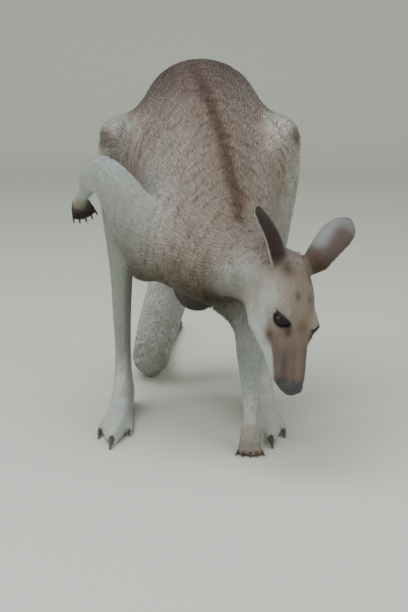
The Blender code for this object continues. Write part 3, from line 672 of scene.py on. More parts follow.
tint(part("pouch") * 0.95, "#26170e")
# painted light: her left thigh is made paler than her right
tint(part("thigh_left") * 0.5, "#cbc8bc")
# painted shade: the underside of the neck and chest darkened to a dark yellow-brown
tint(shaded_throat * 0.95, "#3f311f")
# painted shade on the inner side of her left upper arm, below the chest
tint(shaded_inner_arm * 0.85, "#4f402c")
shade = spread_out(shade, pairs, 50)  # no border between these fields is sharp
tint((1 - ramp(along_line(stripe), 0.012, 0.050)) * 0.45, "#6a584c")
tint((1 - ramp(along_line(stripe), 0.003, 0.014)) * 0.85, "#443226")  # the dark line along the spine
thighs = wide[:, [flesh_names.index("thigh_left"), flesh_names.index("thigh_right")]].sum(1)
join = np.clip(4 * thighs * wide[:, flesh_names.index("trunk")], 0, 1)
tint(join * ramp(0.02 - y, 0, 0.20) * 0.60, "#6a5146")  # reddish groove before the thigh
for knee in (in_box("thigh_left", 0.86, 0.05, 0.80), in_box("thigh_right", 0.17, 0.04, 0.80)):
    tint(spot(knee, 0.024) * 0.75, "#5f4a3f")
tint(spot(in_box("trunk", 0.73, 0.14, 0.45), 0.018) * 0.25, "#6e4a39")
# painted shade on the inner side of each shin, where the legs face each other
tint(part("shank") * ramp(-np.sign(x) * facing[:, 0], 0.2, 0.9) * 0.45, "#6f6d60")  # inner shins
print("body marked")

# %% The arms and the tail
past_wrist = far_from(in_box("forearm_right", 0.3, 0.95, 0.1))
tint(part("hand_right") * ramp(past_wrist, 0.020, 0.050), "#35261a")
# the underside of the right forearm near the wrist golden brown: partly its own colour, partly painted shade
tint(part("forearm_right") * ramp(downward, -0.1, 0.7) * ramp(y, -0.32, -0.26) * 0.6, "#8a7450")
# painted shade on the upper part of her left forearm, under the neck and head
tint(part("forearm_left") * ramp(z, 0.06, 0.16) * 0.5, "#7d8284")
tint(part("hand_left") * ramp(0.030 - z, 0, 0.025) * 0.7, "#6c5f50")
tint(part("tail_base") * ramp(facing[:, 1], 0.0, 0.8) * 0.35, "#7b756c")
# painted shade on the underside of the tail
tint(part("tail") * ramp(downward, 0.1, 0.8) * 0.4, "#a6a296")
print("arms and tail marked")

# %% The face


def face_spot(at, radii, strength, web):
    """The same mark on both sides of the face."""
    for side in (1, -1):
        tint(bump_at(place, (at[0], at[1] * side, at[2]), radii) * on_face * strength, web)


h = head_frame(place)
on_face = part("head", "lower_jaw", "nose")
jaw = ramp(-h[:, 2], 0.017, 0.026) * ramp(0.095 - h[:, 0], 0, 0.02)
tint(on_face * ramp(h[:, 0], 0.010, 0.050) * (1 - jaw) * 0.82, "#584b44")  # reddish muzzle
tint(on_face * jaw * ramp(h[:, 0], -0.06, 0.02) * 0.95, "#b9beb6")  # pale jaw and chin
face_spot((-0.030, 0.036, -0.020), (0.040, 0.022, 0.026), 0.9, "#a9ada5")  # pale cheek
face_spot((-0.004, 0.0245, 0.009), (0.018, 0.0080, 0.010), 0.85, "#a39b91")  # pale brow
face_spot((0.018, 0.0205, 0.005), (0.012, 0.008, 0.009), 0.90, "#33251e")  # dark at the eye's inner corner
face_spot((0.010, 0.0030, 0.010), (0.014, 0.010, 0.012), 0.60, "#5f4a3c")  # band between the eyes
face_spot((0.025, 0.0335, -0.022), (0.019, 0.012, 0.015), 0.95, "#573a2c")  # rusty patch below the eye
face_spot((-0.033, 0.0105, 0.011), (0.007, 0.006, 0.006), 0.75, "#4a382d")  # spots over the brow
ridge = ramp(h[:, 0], 0.018, 0.050) * (1 - ramp(np.abs(h[:, 1]), 0.003, 0.011))
tint(on_face * ridge * 0.45, "#85705f")  # paler down the middle of the muzzle
face_spot((0.066, 0.0200, 0.001), (0.022, 0.006, 0.006), 0.80, "#43332c")  # streak to the nostril
face_spot((0.088, 0.0190, -0.006), (0.012, 0.008, 0.008), 0.60, "#44342e")
face_spot((-0.074, 0.0230, 0.004), (0.019, 0.016, 0.018), 0.90, "#463429")  # dark at the ears' roots
tint(on_face * ramp(h[:, 0], 0.084, 0.094) * (1 - jaw) * 0.8, "#4b4644")
print("face marked")

# %% The ears


def ear_line(name):
    """How far along the ear each point lies (0 at its root, 1 at its tip), and the ear's direction."""
    root = EAR_ROOTS[name]
    co = points_of(frame["nodes"][name].data)
    far = np.linalg.norm(co - root, axis=1)
    tip = co[int(np.argmax(far))]
    reach = tip - root
    along = np.clip((place - root) @ reach / reach.dot(reach), 0, 1)
    return along, unit(reach)


EAR_OPENS = {"ear_left": (0.30, 0.90, -0.35), "ear_right": (-0.89, 0.45, -0.05)}  # the way each cup faces
EAR_ROOTS = {"ear_left": from_head(-0.080, 0.030, 0.0), "ear_right": from_head(-0.085, -0.028, -0.002)}
EAR_LENGTH = 0.109
cup = {}
for name in ("ear_left", "ear_right"):
    along, reach = ear_line(name)
    opens = square_to(reach, np.array(EAR_OPENS[name]))
    inside = ramp(facing @ opens, -0.1, 0.3)
    ours = wide[:, flesh_names.index(name)]
    cup[name] = (along, inside, ours)
    sideways = place - (EAR_ROOTS[name] + np.outer(along, reach) * EAR_LENGTH)
    sideways = unit(sideways - np.outer(sideways @ reach, reach))
    lie += sideways * (ours * inside * 0.25)[:, None]
    tint(ours * inside * 0.9, "#a9acab")
    if name == "ear_left":
        upper = np.cross(reach, opens)  # towards the ear's upper edge
        upper *= 1 if upper[0] < 0 else -1
        edge_ward = (place - EAR_ROOTS[name]) @ upper
        back = ours * (1 - inside) * ramp(along, 0.25, 0.45)
        # painted light: the back of her left ear paler towards its upper edge, where the light falls
        tint(back * ramp(edge_ward, -0.006, 0.014) * 0.8, "#8c9190")
        tint(back * ramp(along, 0.70, 0.85) * 0.6, "#7f8483")
        tint(ours * (1 - ramp(along, 0.10, 0.40)) * 0.8, "#473422")
        tint(ours * ramp(along, 0.93, 0.98) * 0.85, "#2a2626")
    else:
        tint(ours * ramp(along, 0.955, 0.99) * 0.8, "#b9bcb8")
print("ears marked")

# %% Where the hair grows, how long it is and how it is shared among the coat's pieces
HAIR = {  # millimetres
    "pouch": 13.0, "tail_base": 12.0, "tail_middle": 10.0, "tail_tip": 9.0, "thigh": 18.0, "shank": 9.0,
    "foot": 6.0, "upper_arm": 13.0, "forearm": 10.0, "hand": 5.0, "ear": 3.2,
}
on_body = part("trunk", "neck", "head", "lower_jaw", "nose")
LENGTH_FROM_NOSE = (  # metres from the nose, millimetres of hair
    (0.00, 1.5), (0.03, 3.0), (0.09, 4.5), (0.14, 5.5), (0.19, 8.5), (0.26, 16.0), (0.36, 22.0), (2.0, 22.0),
)
body_hair = np.interp(walked, *zip(*LENGTH_FROM_NOSE))
hair = (body_hair * on_body + sum(part(n) * v for n, v in HAIR.items())) / 1000
lids = np.zeros(len(place))
almond = np.zeros(len(place))
for side in (1, -1):
    looks, inner, across = eye_directions(side)
    far = place - eye_centre(side)
    over, up = far @ inner, np.abs(far @ across + 0.0010)
    front = ramp(far @ looks, 0.000, 0.004)
    half = 0.0092 * np.clip(1 - (over / 0.0190) ** 2, 0, 1) ** 0.75
    dark = front * (1 - ramp(up, half - 0.0014, half + 0.0012)) * (np.abs(over) < 0.019)
    almond = np.maximum(almond, dark)
    tight = 0.0078 * np.clip(1 - (over / 0.0135) ** 2, 0, 1) ** 0.6
    bald = front * (1 - ramp(up, tight - 0.0006, tight + 0.0008)) * (np.abs(over) < 0.0135)
    lids = np.maximum(lids, bald)
# the dark ring round each eye: partly its own dark rim, partly painted shade under the brow and lashes
tint(almond * on_face * 0.95, "#261b17")
tint(lids, "#17100d")
bare_nose = ramp(h[:, 0], 0.0885, 0.0925) * ramp(h[:, 2], -0.0135, -0.0105) * on_face
for side in (1, -1):  # the pale cheek runs on over the side of the neck
    tint(spot(from_head(-0.064, 0.048 * side, -0.074), 0.050, 0.8) * 0.75, "#a6aaa3")
tint(on_face * ramp(h[:, 0], 0.080, 0.094) * (1 - jaw) * 0.75, "#3b3736")
tint(bare_nose, "#38373a")
grows = (1 - lids) * (1 - bare_nose) * ramp(place[:, 2], 0.002, 0.005)
for along, inside, ours in cup.values():
    fringe = ours * inside * ramp(along, 0.05, 0.3) * (1 - ramp(along, 0.70, 0.95))
    hair += fringe * 0.0020  # the pale fringe inside an ear
hair = spread_out(hair, pairs, 14)
hair = np.minimum(hair, 0.0022 + 0.75 * place[:, 2].clip(0))  # short where the floor wears it
lie = along_skin(lie)
print(f"hair {hair.min() * 1000:.1f} to {hair.max() * 1000:.1f} mm")

# %% [markdown]
# ## Pieces of the coat
# The coat is split into pieces as a furrier would cut it, each small enough to export whole. The
# back is cut along the spine.

# %% Which piece each point belongs to
GROUPS = {
    "coat_back_left": ("trunk", "pouch"), "coat_back_right": ("trunk", "pouch"), "coat_neck": ("neck",),
    "coat_thigh_left": ("thigh_left",), "coat_thigh_right": ("thigh_right",), "coat_tail": ("tail",),
    "coat_legs": ("shank", "foot"), "coat_arms": ("upper_arm", "forearm", "hand"),
    "coat_head": ("head", "lower_jaw", "nose"), "coat_ears": ("ear",),
}
middle_x = in_box("trunk", 0.5, 0, 0)[0]
belongs = np.stack([part(*names) for names in GROUPS.values()], 1)
belongs[:, 0] *= place[:, 0] >= middle_x
belongs[:, 1] *= place[:, 0] < middle_x
group = np.argmax(belongs, 1)
ripple = np.clip(part("trunk", "neck", "thigh") + 0.35 * part("upper_arm", "tail_base"), 0, 1)
ripple = spread_out(ripple, pairs, 10)
ripple *= ramp(walked, 0.10, 0.22)
print({name: int((group == k).sum()) for k, name in enumerate(GROUPS)})

# %% Keep all of it on the skin as named attributes


def keep(name, kind, field, values):
    layer = skin.data.attributes.new(name, kind, "POINT")
    number = np.int32 if kind == "INT" else np.float32
    layer.data.foreach_set(field, np.asarray(values).astype(number).ravel())


opaque = np.ones((len(place), 1))
keep("coat_colour", "FLOAT_COLOR", "color", np.concatenate([np.clip(shade, 0, 1), opaque], 1))
keep("lie", "FLOAT_VECTOR", "vector", lie)
keep("hair_length", "FLOAT", "value", hair)
keep("hair_grows", "FLOAT", "value", grows)
keep("coat_group", "INT", "value", group)
keep("bare", "FLOAT", "value", np.maximum(bare_nose, lids))
keep("combed", "FLOAT", "value", combed)
keep("ripple", "FLOAT", "value", ripple)
skin.data.shade_smooth()

# %% [markdown]
# ## A flat map of the skin
# Every tuft needs a place in a flat picture of the skin, so that its colours can be stored there.
# The skin is unwrapped by its own shape, as a taxidermist lays out a hide.

# %% Unwrap the skin
bpy.context.view_layer.objects.active = skin
skin.select_set(True)
skin.data.uv_layers.new(name="OFBake")
bpy.ops.object.mode_set(mode="EDIT")
bpy.ops.mesh.select_all(action="SELECT")
bpy.ops.uv.smart_project(angle_limit=math.radians(66), island_margin=0.003, scale_to_bounds=False)
bpy.ops.object.mode_set(mode="OBJECT")
skin.select_set(False)
print("unwrapped,", clock())

# %% [markdown]
# ## Tufts of hair
# Fur seen from across a room reads as locks, not as single hairs: a few dozen hairs lie together and
# end in one point. Each lock here is a small closed spindle of six faces with a flat underside and a
# raised back: its root is a point under its neighbours, it is widest near a third of its length, and
# it bends so that it leaves the skin and lies down again. Particle hair would be lighter to set up,
# but it isn't a mesh.

# %% Three tufts to pick from
TUFT_BELLY = 0.36  # how far along a tuft is widest


def tuft(name, sway):
    """A unit lock along +X, rising along +Z, with its root at the origin."""
    work = bmesh.new()
    patch = work.verts.layers.float_vector.new("patch")
    along = work.verts.layers.float.new("along")
    across = work.verts.layers.float.new("across")

    def corner(t, y, z):
        vert = work.verts.new((t, y + sway * t * t, z))
        vert[patch] = (0.3 * y, t - 0.5, 0)
        vert[along] = t
        vert[across] = y
        return vert

    root = corner(0.0, 0.0, -0.10)
    belly = [corner(TUFT_BELLY, *at) for at in ((-0.5, 0.14), (0.5, 0.14), (0.0, 0.46))]
    tip = corner(1.0, 0.0, 0.28)
    for k in range(3):
        m = (k + 1) % 3
        work.faces.new((root, belly[m], belly[k]))
        work.faces.new((belly[k], belly[m], tip))
    bmesh.ops.recalc_face_normals(work, faces=work.faces)
    return bpy.data.objects.new(name, mesh_from(work, name))


tufts = bpy.data.collections.new("tufts")
bpy.context.scene.collection.children.link(tufts)
for k, sway in enumerate((-0.15, 0.03, 0.17)):
    tufts.objects.link(tuft(f"tuft_{k}", sway))

# %% [markdown]
# ## Sowing the tufts
# Geometry Nodes sow the tufts: points are spread evenly over the skin where hair grows, a tuft is
# set on each, turned so that its length follows the lie of the coat, scaled by the hair's length
# there, and shifted a little by chance. Where the coat parts in ripples, the tufts end sooner and
# lie deeper. One tree serves all pieces of the coat; only its named inputs differ. It ends in real
# mesh, and each tuft is given a small patch in the skin's flat map.

# %% Adding a node


def fill(node, **inputs):
    """Sets or links a node's inputs by name, or by place as n0, n1 and so on."""
    for key, value in inputs.items():
        wanted = key.replace("_", " ").lower()
        live = [s for s in node.inputs if s.enabled]
        named = [s for s in live if s.name.lower() == wanted]
        target = named[0] if named else live[int(key.strip("n"))]
        if isinstance(value, bpy.types.NodeSocket):
            node.id_data.links.new(value, target)
        else:
            target.default_value = value
    return node


def add_node(tree, kind, settings=None, **inputs):
    """Adds one node, sets its properties and fills its inputs."""
    node = tree.nodes.new(kind)
    for key, value in (settings or {}).items():
        setattr(node, key, value)
    return fill(node, **inputs)


def out_of(node, name=None):
    live = [s for s in node.outputs if s.enabled]
    return live[0] if name is None else next(s for s in live if s.name == name)


def times(tree, a, b):
    return add_node(tree, "ShaderNodeMath", {"operation": "MULTIPLY"}, n0=a, n1=b).outputs[0]


def scaled(tree, vector, by):
    return add_node(tree, "ShaderNodeVectorMath", {"operation": "SCALE"}, n0=vector, Scale=by).outputs[0]


def ranged(tree, value, from_min, from_max, to_min, to_max, kind="LINEAR"):
    node = add_node(tree, "ShaderNodeMapRange", {"interpolation_type": kind}, Value=value,
                    From_Min=from_min, From_Max=from_max, To_Min=to_min, To_Max=to_max)
    return node.outputs[0]


# %% The ripples of the coat, the same for skin and tufts
RIPPLE_APART = 0.0066  # metres from one ripple to the next, along the hair
COMBED_PER_METRE = 1.12  # the height map of the coat rises a little faster than the hair runs
RIPPLE_LONG = 0.026  # metres that a ripple runs across the hair


def ripple_noise(tree, position, combed_at):
    """0 to 1; low where the coat parts. It changes fast along the hair and slowly across it."""
    slow = scaled(tree, position, 1 / RIPPLE_LONG)
    fast = times(tree, combed_at, 1 / RIPPLE_APART)
    noise = add_node(tree, "ShaderNodeTexNoise", {"noise_dimensions": "4D"}, Vector=slow, W=fast,
                     Scale=1.0, Detail=3.5, Roughness=0.62, Distortion=0.35)
    return noise.outputs[0]


# %% The tree that sows a coat
COAT_INPUTS = (
    ("Skin", "NodeSocketGeometry"), ("Tufts", "NodeSocketCollection"), ("Group", "NodeSocketInt"),
    ("Spacing", "NodeSocketFloat"), ("Width", "NodeSocketFloat"), ("Lift", "NodeSocketFloat"),
    ("Unrest", "NodeSocketFloat"), ("Seed", "NodeSocketInt"), ("Finish", "NodeSocketMaterial"),
)
PATCH = 0.003  # the width of a tuft's patch in the flat map
ONLY_FOR_SOWING = (
    "root_uv", "patch", "lie", "coat_group", "hair_grows", "bare", "hair_length", "tuft_length",
)


def coat_tree():
    tree = bpy.data.node_groups.new("sow_the_coat", "GeometryNodeTree")
    for name, kind in COAT_INPUTS:
        tree.interface.new_socket(name, in_out="INPUT", socket_type=kind)
    tree.interface.new_socket("Coat", in_out="OUTPUT", socket_type="NodeSocketGeometry")
    given = tree.nodes.new("NodeGroupInput").outputs

    def attribute(name, kind):
        node = add_node(tree, "GeometryNodeInputNamedAttribute", {"data_type": kind}, Name=name)
        return out_of(node, "Attribute")

    def maths(operation, a, b):
        return add_node(tree, "ShaderNodeMath", {"operation": operation}, n0=a, n1=b).outputs[0]

    def chance(kind, low, high, seed):
        node = add_node(tree, "FunctionNodeRandomValue", {"data_type": kind}, n0=low, n1=high)
        seed_in = next(s for s in node.inputs if s.enabled and s.name == "Seed")
        tree.links.new(maths("ADD", given["Seed"], seed), seed_in)
        return out_of(node)

    def remember(geometry, kind, domain, name, value):
        settings = {"data_type": kind, "domain": domain}
        node = add_node(tree, "GeometryNodeStoreNamedAttribute", settings,
                        Geometry=geometry, Name=name, Value=value)
        return out_of(node)

    # points over this piece's share of the skin, each remembering where it grew
    ours = add_node(tree, "FunctionNodeCompare", {"data_type": "INT", "operation": "EQUAL"},
                    n0=attribute("coat_group", "INT"), n1=given["Group"])
    sown = add_node(tree, "GeometryNodeDistributePointsOnFaces", {"distribute_method": "POISSON"},
                    Mesh=given["Skin"], Selection=out_of(ours), Distance_Min=given["Spacing"],
                    Density_Max=2e6, Density_Factor=attribute("hair_grows", "FLOAT"), Seed=given["Seed"])
    flat_place = attribute("OFBake", "FLOAT_VECTOR")
    points = remember(out_of(sown, "Points"), "FLOAT_VECTOR", "POINT", "root_uv", flat_place)
    points = remember(points, "FLOAT", "POINT", "tuft_chance", chance("FLOAT", 0.0, 1.0, 3))
    points = remember(points, "FLOAT_VECTOR", "POINT", "root_facing", out_of(sown, "Normal"))

    # where the tuft's tip comes to lie, does the coat part?
    where = add_node(tree, "GeometryNodeInputPosition").outputs[0]
    hair_length = attribute("hair_length", "FLOAT")
    tip_at = maths("ADD", attribute("combed", "FLOAT"), times(tree, hair_length, 0.85))
    parting = ranged(tree, ripple_noise(tree, where, tip_at), 0.38, 0.50, 1.0, 0.0)
    parting = times(tree, parting, attribute("ripple", "FLOAT"))

    # turned to the lie of the coat, with some unrest
    facing = add_node(tree, "FunctionNodeAxesToRotation", {"primary_axis": "Z", "secondary_axis": "X"},
                      n0=attribute("root_facing", "FLOAT_VECTOR"), n1=attribute("lie", "FLOAT_VECTOR"))
    lift = times(tree, chance("FLOAT", -1.0, 0.35, 5), given["Lift"])
    lift = maths("ADD", lift, times(tree, parting, 0.05))
    unrest = add_node(tree, "ShaderNodeCombineXYZ", None, Y=lift,
                      X=times(tree, chance("FLOAT", -0.5, 0.5, 7), given["Unrest"]),
                      Z=times(tree, chance("FLOAT", -1.0, 1.0, 9), given["Unrest"]))
    turn = add_node(tree, "FunctionNodeEulerToRotation", None, n0=unrest.outputs[0])
    turned = add_node(tree, "FunctionNodeRotateRotation", {"rotation_space": "LOCAL"},
                      n0=out_of(facing), n1=out_of(turn))

    # as long as the hair is there
    length = times(tree, hair_length, chance("FLOAT", 0.78, 1.12, 11))
    length = times(tree, length, maths("SUBTRACT", 1.0, times(tree, parting, 0.24)))
    points = remember(points, "FLOAT", "POINT", "tuft_length", length)
    width = times(tree, given["Width"], chance("FLOAT", 0.75, 1.25, 13))
    height = maths("ADD", times(tree, length, 0.055), times(tree, width, 0.16))
    size = add_node(tree, "ShaderNodeCombineXYZ", None, X=length, Y=width, Z=height)
    kinds = add_node(tree, "GeometryNodeCollectionInfo", {"transform_space": "ORIGINAL"},
                     Collection=given["Tufts"], Separate_Children=True, Reset_Children=True)
    placed = add_node(tree, "GeometryNodeInstanceOnPoints", None, Points=points, Instance=out_of(kinds),
                      Pick_Instance=True, Instance_Index=chance("INT", 0, 2, 17), Rotation=out_of(turned),
                      Scale=size.outputs[0])
    real = out_of(add_node(tree, "GeometryNodeRealizeInstances", None, Geometry=out_of(placed)))

    # each tuft's patch in the flat map, and how far the coat is combed along it
    patch = scaled(tree, attribute("patch", "FLOAT_VECTOR"), PATCH)
    spread = add_node(tree, "ShaderNodeVectorMath", {"operation": "ADD"},
                      n0=attribute("root_uv", "FLOAT_VECTOR"), n1=patch)
    real = remember(real, "FLOAT2", "CORNER", "OFBake", spread.outputs[0])
    reach = times(tree, attribute("along", "FLOAT"), attribute("tuft_length", "FLOAT"))
    reach = times(tree, reach, COMBED_PER_METRE)
    real = remember(real, "FLOAT", "POINT", "combed", maths("ADD", attribute("combed", "FLOAT"), reach))
    for name in ONLY_FOR_SOWING:
        real = out_of(add_node(tree, "GeometryNodeRemoveAttribute", None, Geometry=real, Name=name))
    real = out_of(add_node(tree, "GeometryNodeSetShadeSmooth", None, Geometry=real))
    real = out_of(add_node(tree, "GeometryNodeSetMaterial", None, Geometry=real, Material=given["Finish"]))
    tree.links.new(real, tree.nodes.new("NodeGroupOutput").inputs[0])
    return tree


sow = coat_tree()
print("sowing tree:", len(sow.nodes), "nodes")

# %% [markdown]
# ## Finish of skin and hair
# Hair is keratin: matt to the eye as a coat, with a soft sheen where light grazes it. Each lock is
# darker at its root, where less light reaches, and paler at its tip, as a grizzled guard hair is.
# Where the coat parts in ripples, the brown underfur shows.

# %% Fur finish


def new_finish(name, **inputs):
    """A material, its node tree and its surface shader, with these inputs set."""
    finish = bpy.data.materials.new(name)
    finish.use_nodes = True
    tree = finish.node_tree
    return finish, tree, fill(tree.nodes["Principled BSDF"], **inputs)


def wear(thing, finish):
    thing.data.materials.clear()
    thing.data.materials.append(finish)


def kept_on_mesh(tree, name, output="Fac"):
    return add_node(tree, "ShaderNodeAttribute", {"attribute_name": name}).outputs[output]


UNDERFUR = (0.48, 0.39, 0.33)  # what a parting leaves of the coat's red, green and blue
RIPPLE_SHARE = 0.62


def rippled_colour(tree):
    """The coat's colour with its ripples, and the place on the animal."""
    colour = kept_on_mesh(tree, "coat_colour", "Color")
    spot_on = add_node(tree, "ShaderNodeTexCoord").outputs["Object"]
    ripples = ripple_noise(tree, spot_on, kept_on_mesh(tree, "combed"))
    parting = ranged(tree, ripples, 0.37, 0.51, 1.0, 0.0, "SMOOTHSTEP")
    soft = times(tree, times(tree, parting, kept_on_mesh(tree, "ripple")), RIPPLE_SHARE)
    dark = add_node(tree, "ShaderNodeVectorMath", {"operation": "MULTIPLY"}, n0=colour, n1=UNDERFUR)
    mix = add_node(tree, "ShaderNodeMix", {"data_type": "RGBA"}, Factor=soft, A=colour, B=dark.outputs[0])
    return out_of(mix), spot_on


def fur_finish():
    finish, tree, surface = new_finish(
        "grizzled_fur", Roughness=0.75, Specular_IOR_Level=0.20, Sheen_Weight=0.15, Sheen_Roughness=0.5
    )
    colour, _ = rippled_colour(tree)
    along = kept_on_mesh(tree, "along")
    luck = kept_on_mesh(tree, "tuft_chance")
    from_root = ranged(tree, along, 0.0, 0.75, 0.90, 1.04, "SMOOTHSTEP")
    own = ranged(tree, luck, 0.0, 1.0, 0.90, 1.10)
    # single hairs in the lock: streaks along it
    apart = times(tree, kept_on_mesh(tree, "across"), 7.0)
    hair_at = add_node(tree, "ShaderNodeCombineXYZ", None, X=apart, Y=times(tree, luck, 170.0), Z=along)
    hairs = add_node(tree, "ShaderNodeTexNoise", None, Vector=hair_at.outputs[0], Scale=1.0, Detail=1.0)
    streak = ranged(tree, hairs.outputs[0], 0.3, 0.7, 0.87, 1.12)
    light = times(tree, times(tree, from_root, own), streak)
    # a lock scatters light as the hide under it does, so it is shaded mostly by the hide's slope
    hide_slope = kept_on_mesh(tree, "root_facing", "Vector")
    own_slope = add_node(tree, "ShaderNodeNewGeometry").outputs["Normal"]
    slope = add_node(tree, "ShaderNodeMix", {"data_type": "VECTOR"}, Factor=0.78, A=own_slope, B=hide_slope)
    level = add_node(tree, "ShaderNodeVectorMath", {"operation": "NORMALIZE"}, n0=out_of(slope))
    fill(surface, Base_Color=scaled(tree, colour, light), Normal=level.outputs[0])
    return finish


DOWN_MM = 1000 / 420  # the grain of down on the hide
PEBBLE_MM = 1000 / 900  # the pebbles of bare nose and lids


def hide_finish():
    finish, tree, surface = new_finish("hide_under_fur", Specular_IOR_Level=0.35)
    colour, spot_on = rippled_colour(tree)
    bare = kept_on_mesh(tree, "bare")
    down = add_node(tree, "ShaderNodeTexNoise", None, Vector=spot_on, Scale=1000 / DOWN_MM, Detail=3.0)
    down = down.outputs["Fac"]
    # the grain of down, with the hide mostly a little darker than the coat: painted shade between the locks
    dark = ranged(tree, down, 0.0, 1.0, 0.82, 1.04)
    pebbles = add_node(tree, "ShaderNodeTexVoronoi", {"feature": "DISTANCE_TO_EDGE"}, Vector=spot_on,
                       Scale=1000 / PEBBLE_MM)
    grain = ranged(tree, pebbles.outputs[0], 0.0, 0.25, 0.0, 1.0)
    height = add_node(tree, "ShaderNodeMix", {"data_type": "FLOAT"}, Factor=bare, A=down, B=grain)
    bump = add_node(tree, "ShaderNodeBump", None, Height=out_of(height), Distance=0.0006, Strength=0.6)
    rough = ranged(tree, bare, 0.0, 1.0, 0.75, 0.42)
    fill(surface, Base_Color=scaled(tree, colour, dark), Normal=bump.outputs[0], Roughness=rough)
    return finish


fur, hide = fur_finish(), hide_finish()
wear(skin, hide)
print("finishes:", fur.name, hide.name)

# %% Sow each piece of the coat
# spacing and width in millimetres, then lift and unrest in radians
SOWING = {
    "coat_back_left": (1.75, 2.5, 0.055, 0.16), "coat_back_right": (1.75, 2.5, 0.055, 0.16),
    "coat_neck": (1.65, 2.3, 0.07, 0.18), "coat_thigh_left": (1.65, 2.3, 0.05, 0.15),
    "coat_thigh_right": (1.65, 2.3, 0.05, 0.15), "coat_tail": (1.75, 2.2, 0.05, 0.13),
    "coat_legs": (1.50, 1.8, 0.04, 0.12), "coat_arms": (1.35, 1.8, 0.05, 0.14),
    "coat_head": (0.86, 1.10, 0.06, 0.16), "coat_ears": (0.95, 1.10, 0.05, 0.18),
}
identifier = {s.name: s.identifier for s in sow.interface.items_tree if s.in_out == "INPUT"}
coat = []
PRESSED = 0.0015  # metres above the floor
for number, (name, (spacing, width, lift, unrest)) in enumerate(SOWING.items()):
    holder = in_scene(f"{name}_sown", skin.data)
    sower = holder.modifiers.new("Sow", "NODES")
    sower.node_group = sow
    wanted = {
        "Tufts": tufts, "Group": list(GROUPS).index(name), "Spacing": spacing / 1000, "Width": width / 1000,
        "Lift": lift, "Unrest": unrest, "Seed": 11 + 7 * number, "Finish": fur,
    }
    for key, value in wanted.items():
        sower[identifier[key]] = value
    piece = baked_copy(holder, name)
    co = points_of(piece.data)
    press = co[:, 2] < PRESSED
    co[press, 2] = PRESSED * np.exp((co[press, 2] - PRESSED) / PRESSED)  # hair lies flat on the floor
    co[:, :2] = co[:, :2].clip(np.array(solid_low)[:2], np.array(solid_high)[:2])
    put_points(piece.data, co)
    coat.append(piece)
    print(name, len(piece.data.polygons), "triangles")
for thing in list(tufts.objects):
    bpy.data.objects.remove(thing)
bpy.data.collections.remove(tufts)
print("coat:", sum(len(p.data.polygons) for p in coat), "triangles,", clock())

# %% [markdown]
# ## The eyes
# A kangaroo's eye is dark brown nearly all over, with little white showing and a level slit of a
# pupil that opens wide in shade. The solids carry a coarse ball; here each is a smooth one, a little
# deeper in its lids, with the wet shine of the cornea made by a clear coat over a dark iris.

# %% Eyeballs with iris and pupil


def colour_ramp(tree, value, stops):
    """Web colours at their places along a value."""
    node = add_node(tree, "ShaderNodeValToRGB", None, n0=value)
    while len(node.color_ramp.elements) < len(stops):
        node.color_ramp.elements.new(0.5)
    for element, (at, web) in zip(node.color_ramp.elements, stops):
        element.position = at
        element.color = (*linear(web), 1)
    return node.outputs["Color"]


IRIS = (  # from the middle of the eye outwards: pupil, iris, its dark edge, the white
    (0.0, "#050404"), (0.42, "#070505"), (0.52, "#1f130c"),
    (0.78, "#170e0a"), (0.92, "#0e0a08"), (1.0, "#231b18"),
)


def eye_finish():
    finish, tree, surface = new_finish(
        "dark_iris_under_cornea", Roughness=0.30, Specular_IOR_Level=0.0,
        Coat_Weight=1.0, Coat_Roughness=0.03, Coat_IOR=1.376,
    )
    ray = kept_on_mesh(tree, "gaze", "Vector")
    split = add_node(tree, "ShaderNodeSeparateXYZ", None, Vector=ray)
    grain = add_node(tree, "ShaderNodeTexNoise", None, Vector=ray, Scale=9.0, Detail=2.0)
    tall = times(tree, split.outputs[1], 1.25)
    flat = add_node(tree, "ShaderNodeCombineXYZ", None, X=split.outputs[0], Y=tall)
    far = add_node(tree, "ShaderNodeVectorMath", {"operation": "LENGTH"}, n0=flat.outputs[0])
    mix = colour_ramp(tree, far.outputs["Value"], IRIS)
    mottle = ranged(tree, grain.outputs["Fac"], 0.0, 1.0, 0.7, 1.3)
    fill(surface, Base_Color=scaled(tree, mix, mottle))
    return finish


CORNEA = 0.035  # how far the cornea bulges, as a share of the eye's radius
wet_eye = eye_finish()
for side, name in ((1, "eye_left"), (-1, "eye_right")):
    looks, inner, across = eye_directions(side)
    work = bmesh.new()
    bmesh.ops.create_uvsphere(work, u_segments=48, v_segments=32, radius=1.0)
    gaze = work.verts.layers.float_vector.new("gaze")
    turn = np.stack([inner, across, looks])
    for vert in work.verts:
        vert[gaze] = vert.co
        off_axis = math.acos(max(-1, min(1, vert.co.z)))
        bulge = 1 + CORNEA * math.exp(-((off_axis / 0.62) ** 2))
        vert.co = Vector(eye_centre(side) + np.array(vert.co) @ turn * EYE_RADIUS * bulge)
    bmesh.ops.recalc_face_normals(work, faces=work.faces)
    eye = in_scene(f"{name}_ball", mesh_from(work, f"{name}_ball"))
    eye.data.shade_smooth()
    wear(eye, wet_eye)
    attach(eye, "root")
    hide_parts(name)
print("eyeballs", round(EYE_RADIUS * 2000, 1), "mm across")

# %% [markdown]
# ## The claws
# Claws are horn: dark grey-brown and streaked along their length.

# %% Horn for the claws


def horn_finish():
    finish, tree, surface = new_finish("grown_claw_horn", Roughness=0.38, IOR=1.54)
    spot_on = add_node(tree, "ShaderNodeTexCoord").outputs["Object"]
    streak = add_node(tree, "ShaderNodeTexNoise", None, Vector=spot_on, Scale=260.0, Detail=3.0)
    streak = streak.outputs["Fac"]
    mix = colour_ramp(tree, streak, ((0.35, "#2b2622"), (0.75, "#55493e")))
    bump = add_node(tree, "ShaderNodeBump", None, Height=streak, Distance=0.0004, Strength=0.4)
    fill(surface, Base_Color=mix, Normal=bump.outputs[0])
    return finish


horn = horn_finish()
for name in claw_names:
    wear(bpy.data.objects[name], horn)
print(len(claw_names), "claws in horn")

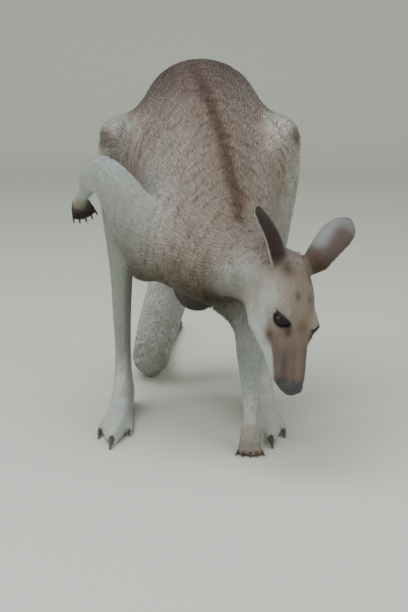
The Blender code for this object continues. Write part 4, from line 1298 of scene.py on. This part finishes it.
# %% [markdown]
# ## What rides where
# The model is still, so every piece rides on its one body. The skin stands for all the solids of
# flesh, and the coat lies on it.

# %% Riding and standing in
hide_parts(*flesh_names)
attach(skin, "root")
for piece in coat:
    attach(piece, "root")

# %% [markdown]
# ## Floor, light and camera
# A pale floor swept up behind her, one large soft light as from an overcast sky, and a weaker one
# from the other side. The camera stands in front of her, about two and a half metres off, and looks
# a little down.

# %% Floor and backdrop
work = bmesh.new()
REACH = 9.0  # metres the floor goes on in front and to the sides
BACK = 4.0  # metres behind her where it starts to sweep up
SWEEP = 1.2  # metres, the radius of that sweep
bend = np.linspace(0, math.pi / 2, 13)
profile = [(-REACH, 0.0)]
profile += [(BACK + SWEEP * math.sin(t), SWEEP * (1 - math.cos(t))) for t in bend]
profile += [(BACK + SWEEP, 6.0)]
rows = [[work.verts.new((x, y, z - 0.0002)) for y, z in profile] for x in (-REACH, REACH)]
for k in range(len(profile) - 1):
    work.faces.new((rows[0][k], rows[1][k], rows[1][k + 1], rows[0][k + 1]))
floor = in_scene("floor", mesh_from(work, "floor"))
floor.data.shade_smooth()
wear(floor, new_finish("matt_paper", Base_Color=(*linear("#b9bcb2"), 1), Roughness=0.9)[0])
floor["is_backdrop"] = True

# %% Soft lights


def soft_light(name, place_at, aim, power, size, web):
    light = bpy.data.lights.new(name, "AREA")
    light.shape = "DISK"
    light.energy = power
    light.size = size
    light.color = linear(web)
    lamp = in_scene(name, light)
    lamp.location = place_at
    lamp.rotation_euler = (Vector(aim) - Vector(place_at)).to_track_quat("-Z", "Y").to_euler()


soft_light("sky", (-0.8, -1.0, 3.2), (0, 0, 0.3), 118, 3.2, "#f2f5ff")
soft_light("left_fill", (-2.8, -1.8, 1.4), (0, -0.2, 0.4), 30, 2.0, "#fff6ea")
soft_light("right_fill", (2.4, -2.4, 1.6), (0.1, 0, 0.3), 44, 2.4, "#f3f6f2")
world = bpy.data.worlds.new("studio")
bpy.context.scene.world = world
world.use_nodes = True
fill(world.node_tree.nodes["Background"], Color=(*linear("#e9ebe6"), 1), Strength=0.88)

# %% Camera
camera = in_scene("camera", bpy.data.cameras.new("camera"))
bpy.context.scene.camera = camera
camera.location = (solid_low.x + 0.2194, solid_low.y - 1.9947, 0.647)
camera.rotation_euler = (math.radians(79.2), 0, 0)
camera.data.sensor_width = 36.0
camera.data.lens = 85.0
print("camera at", [round(v, 3) for v in camera.location])

# %% Sizes, and the end
dressed_low, dressed_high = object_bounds()
sizes = {"solid": [list(solid_low), list(solid_high)], "dressed": [list(dressed_low), list(dressed_high)]}
print("solid", sizes["solid"], "dressed", sizes["dressed"], clock())
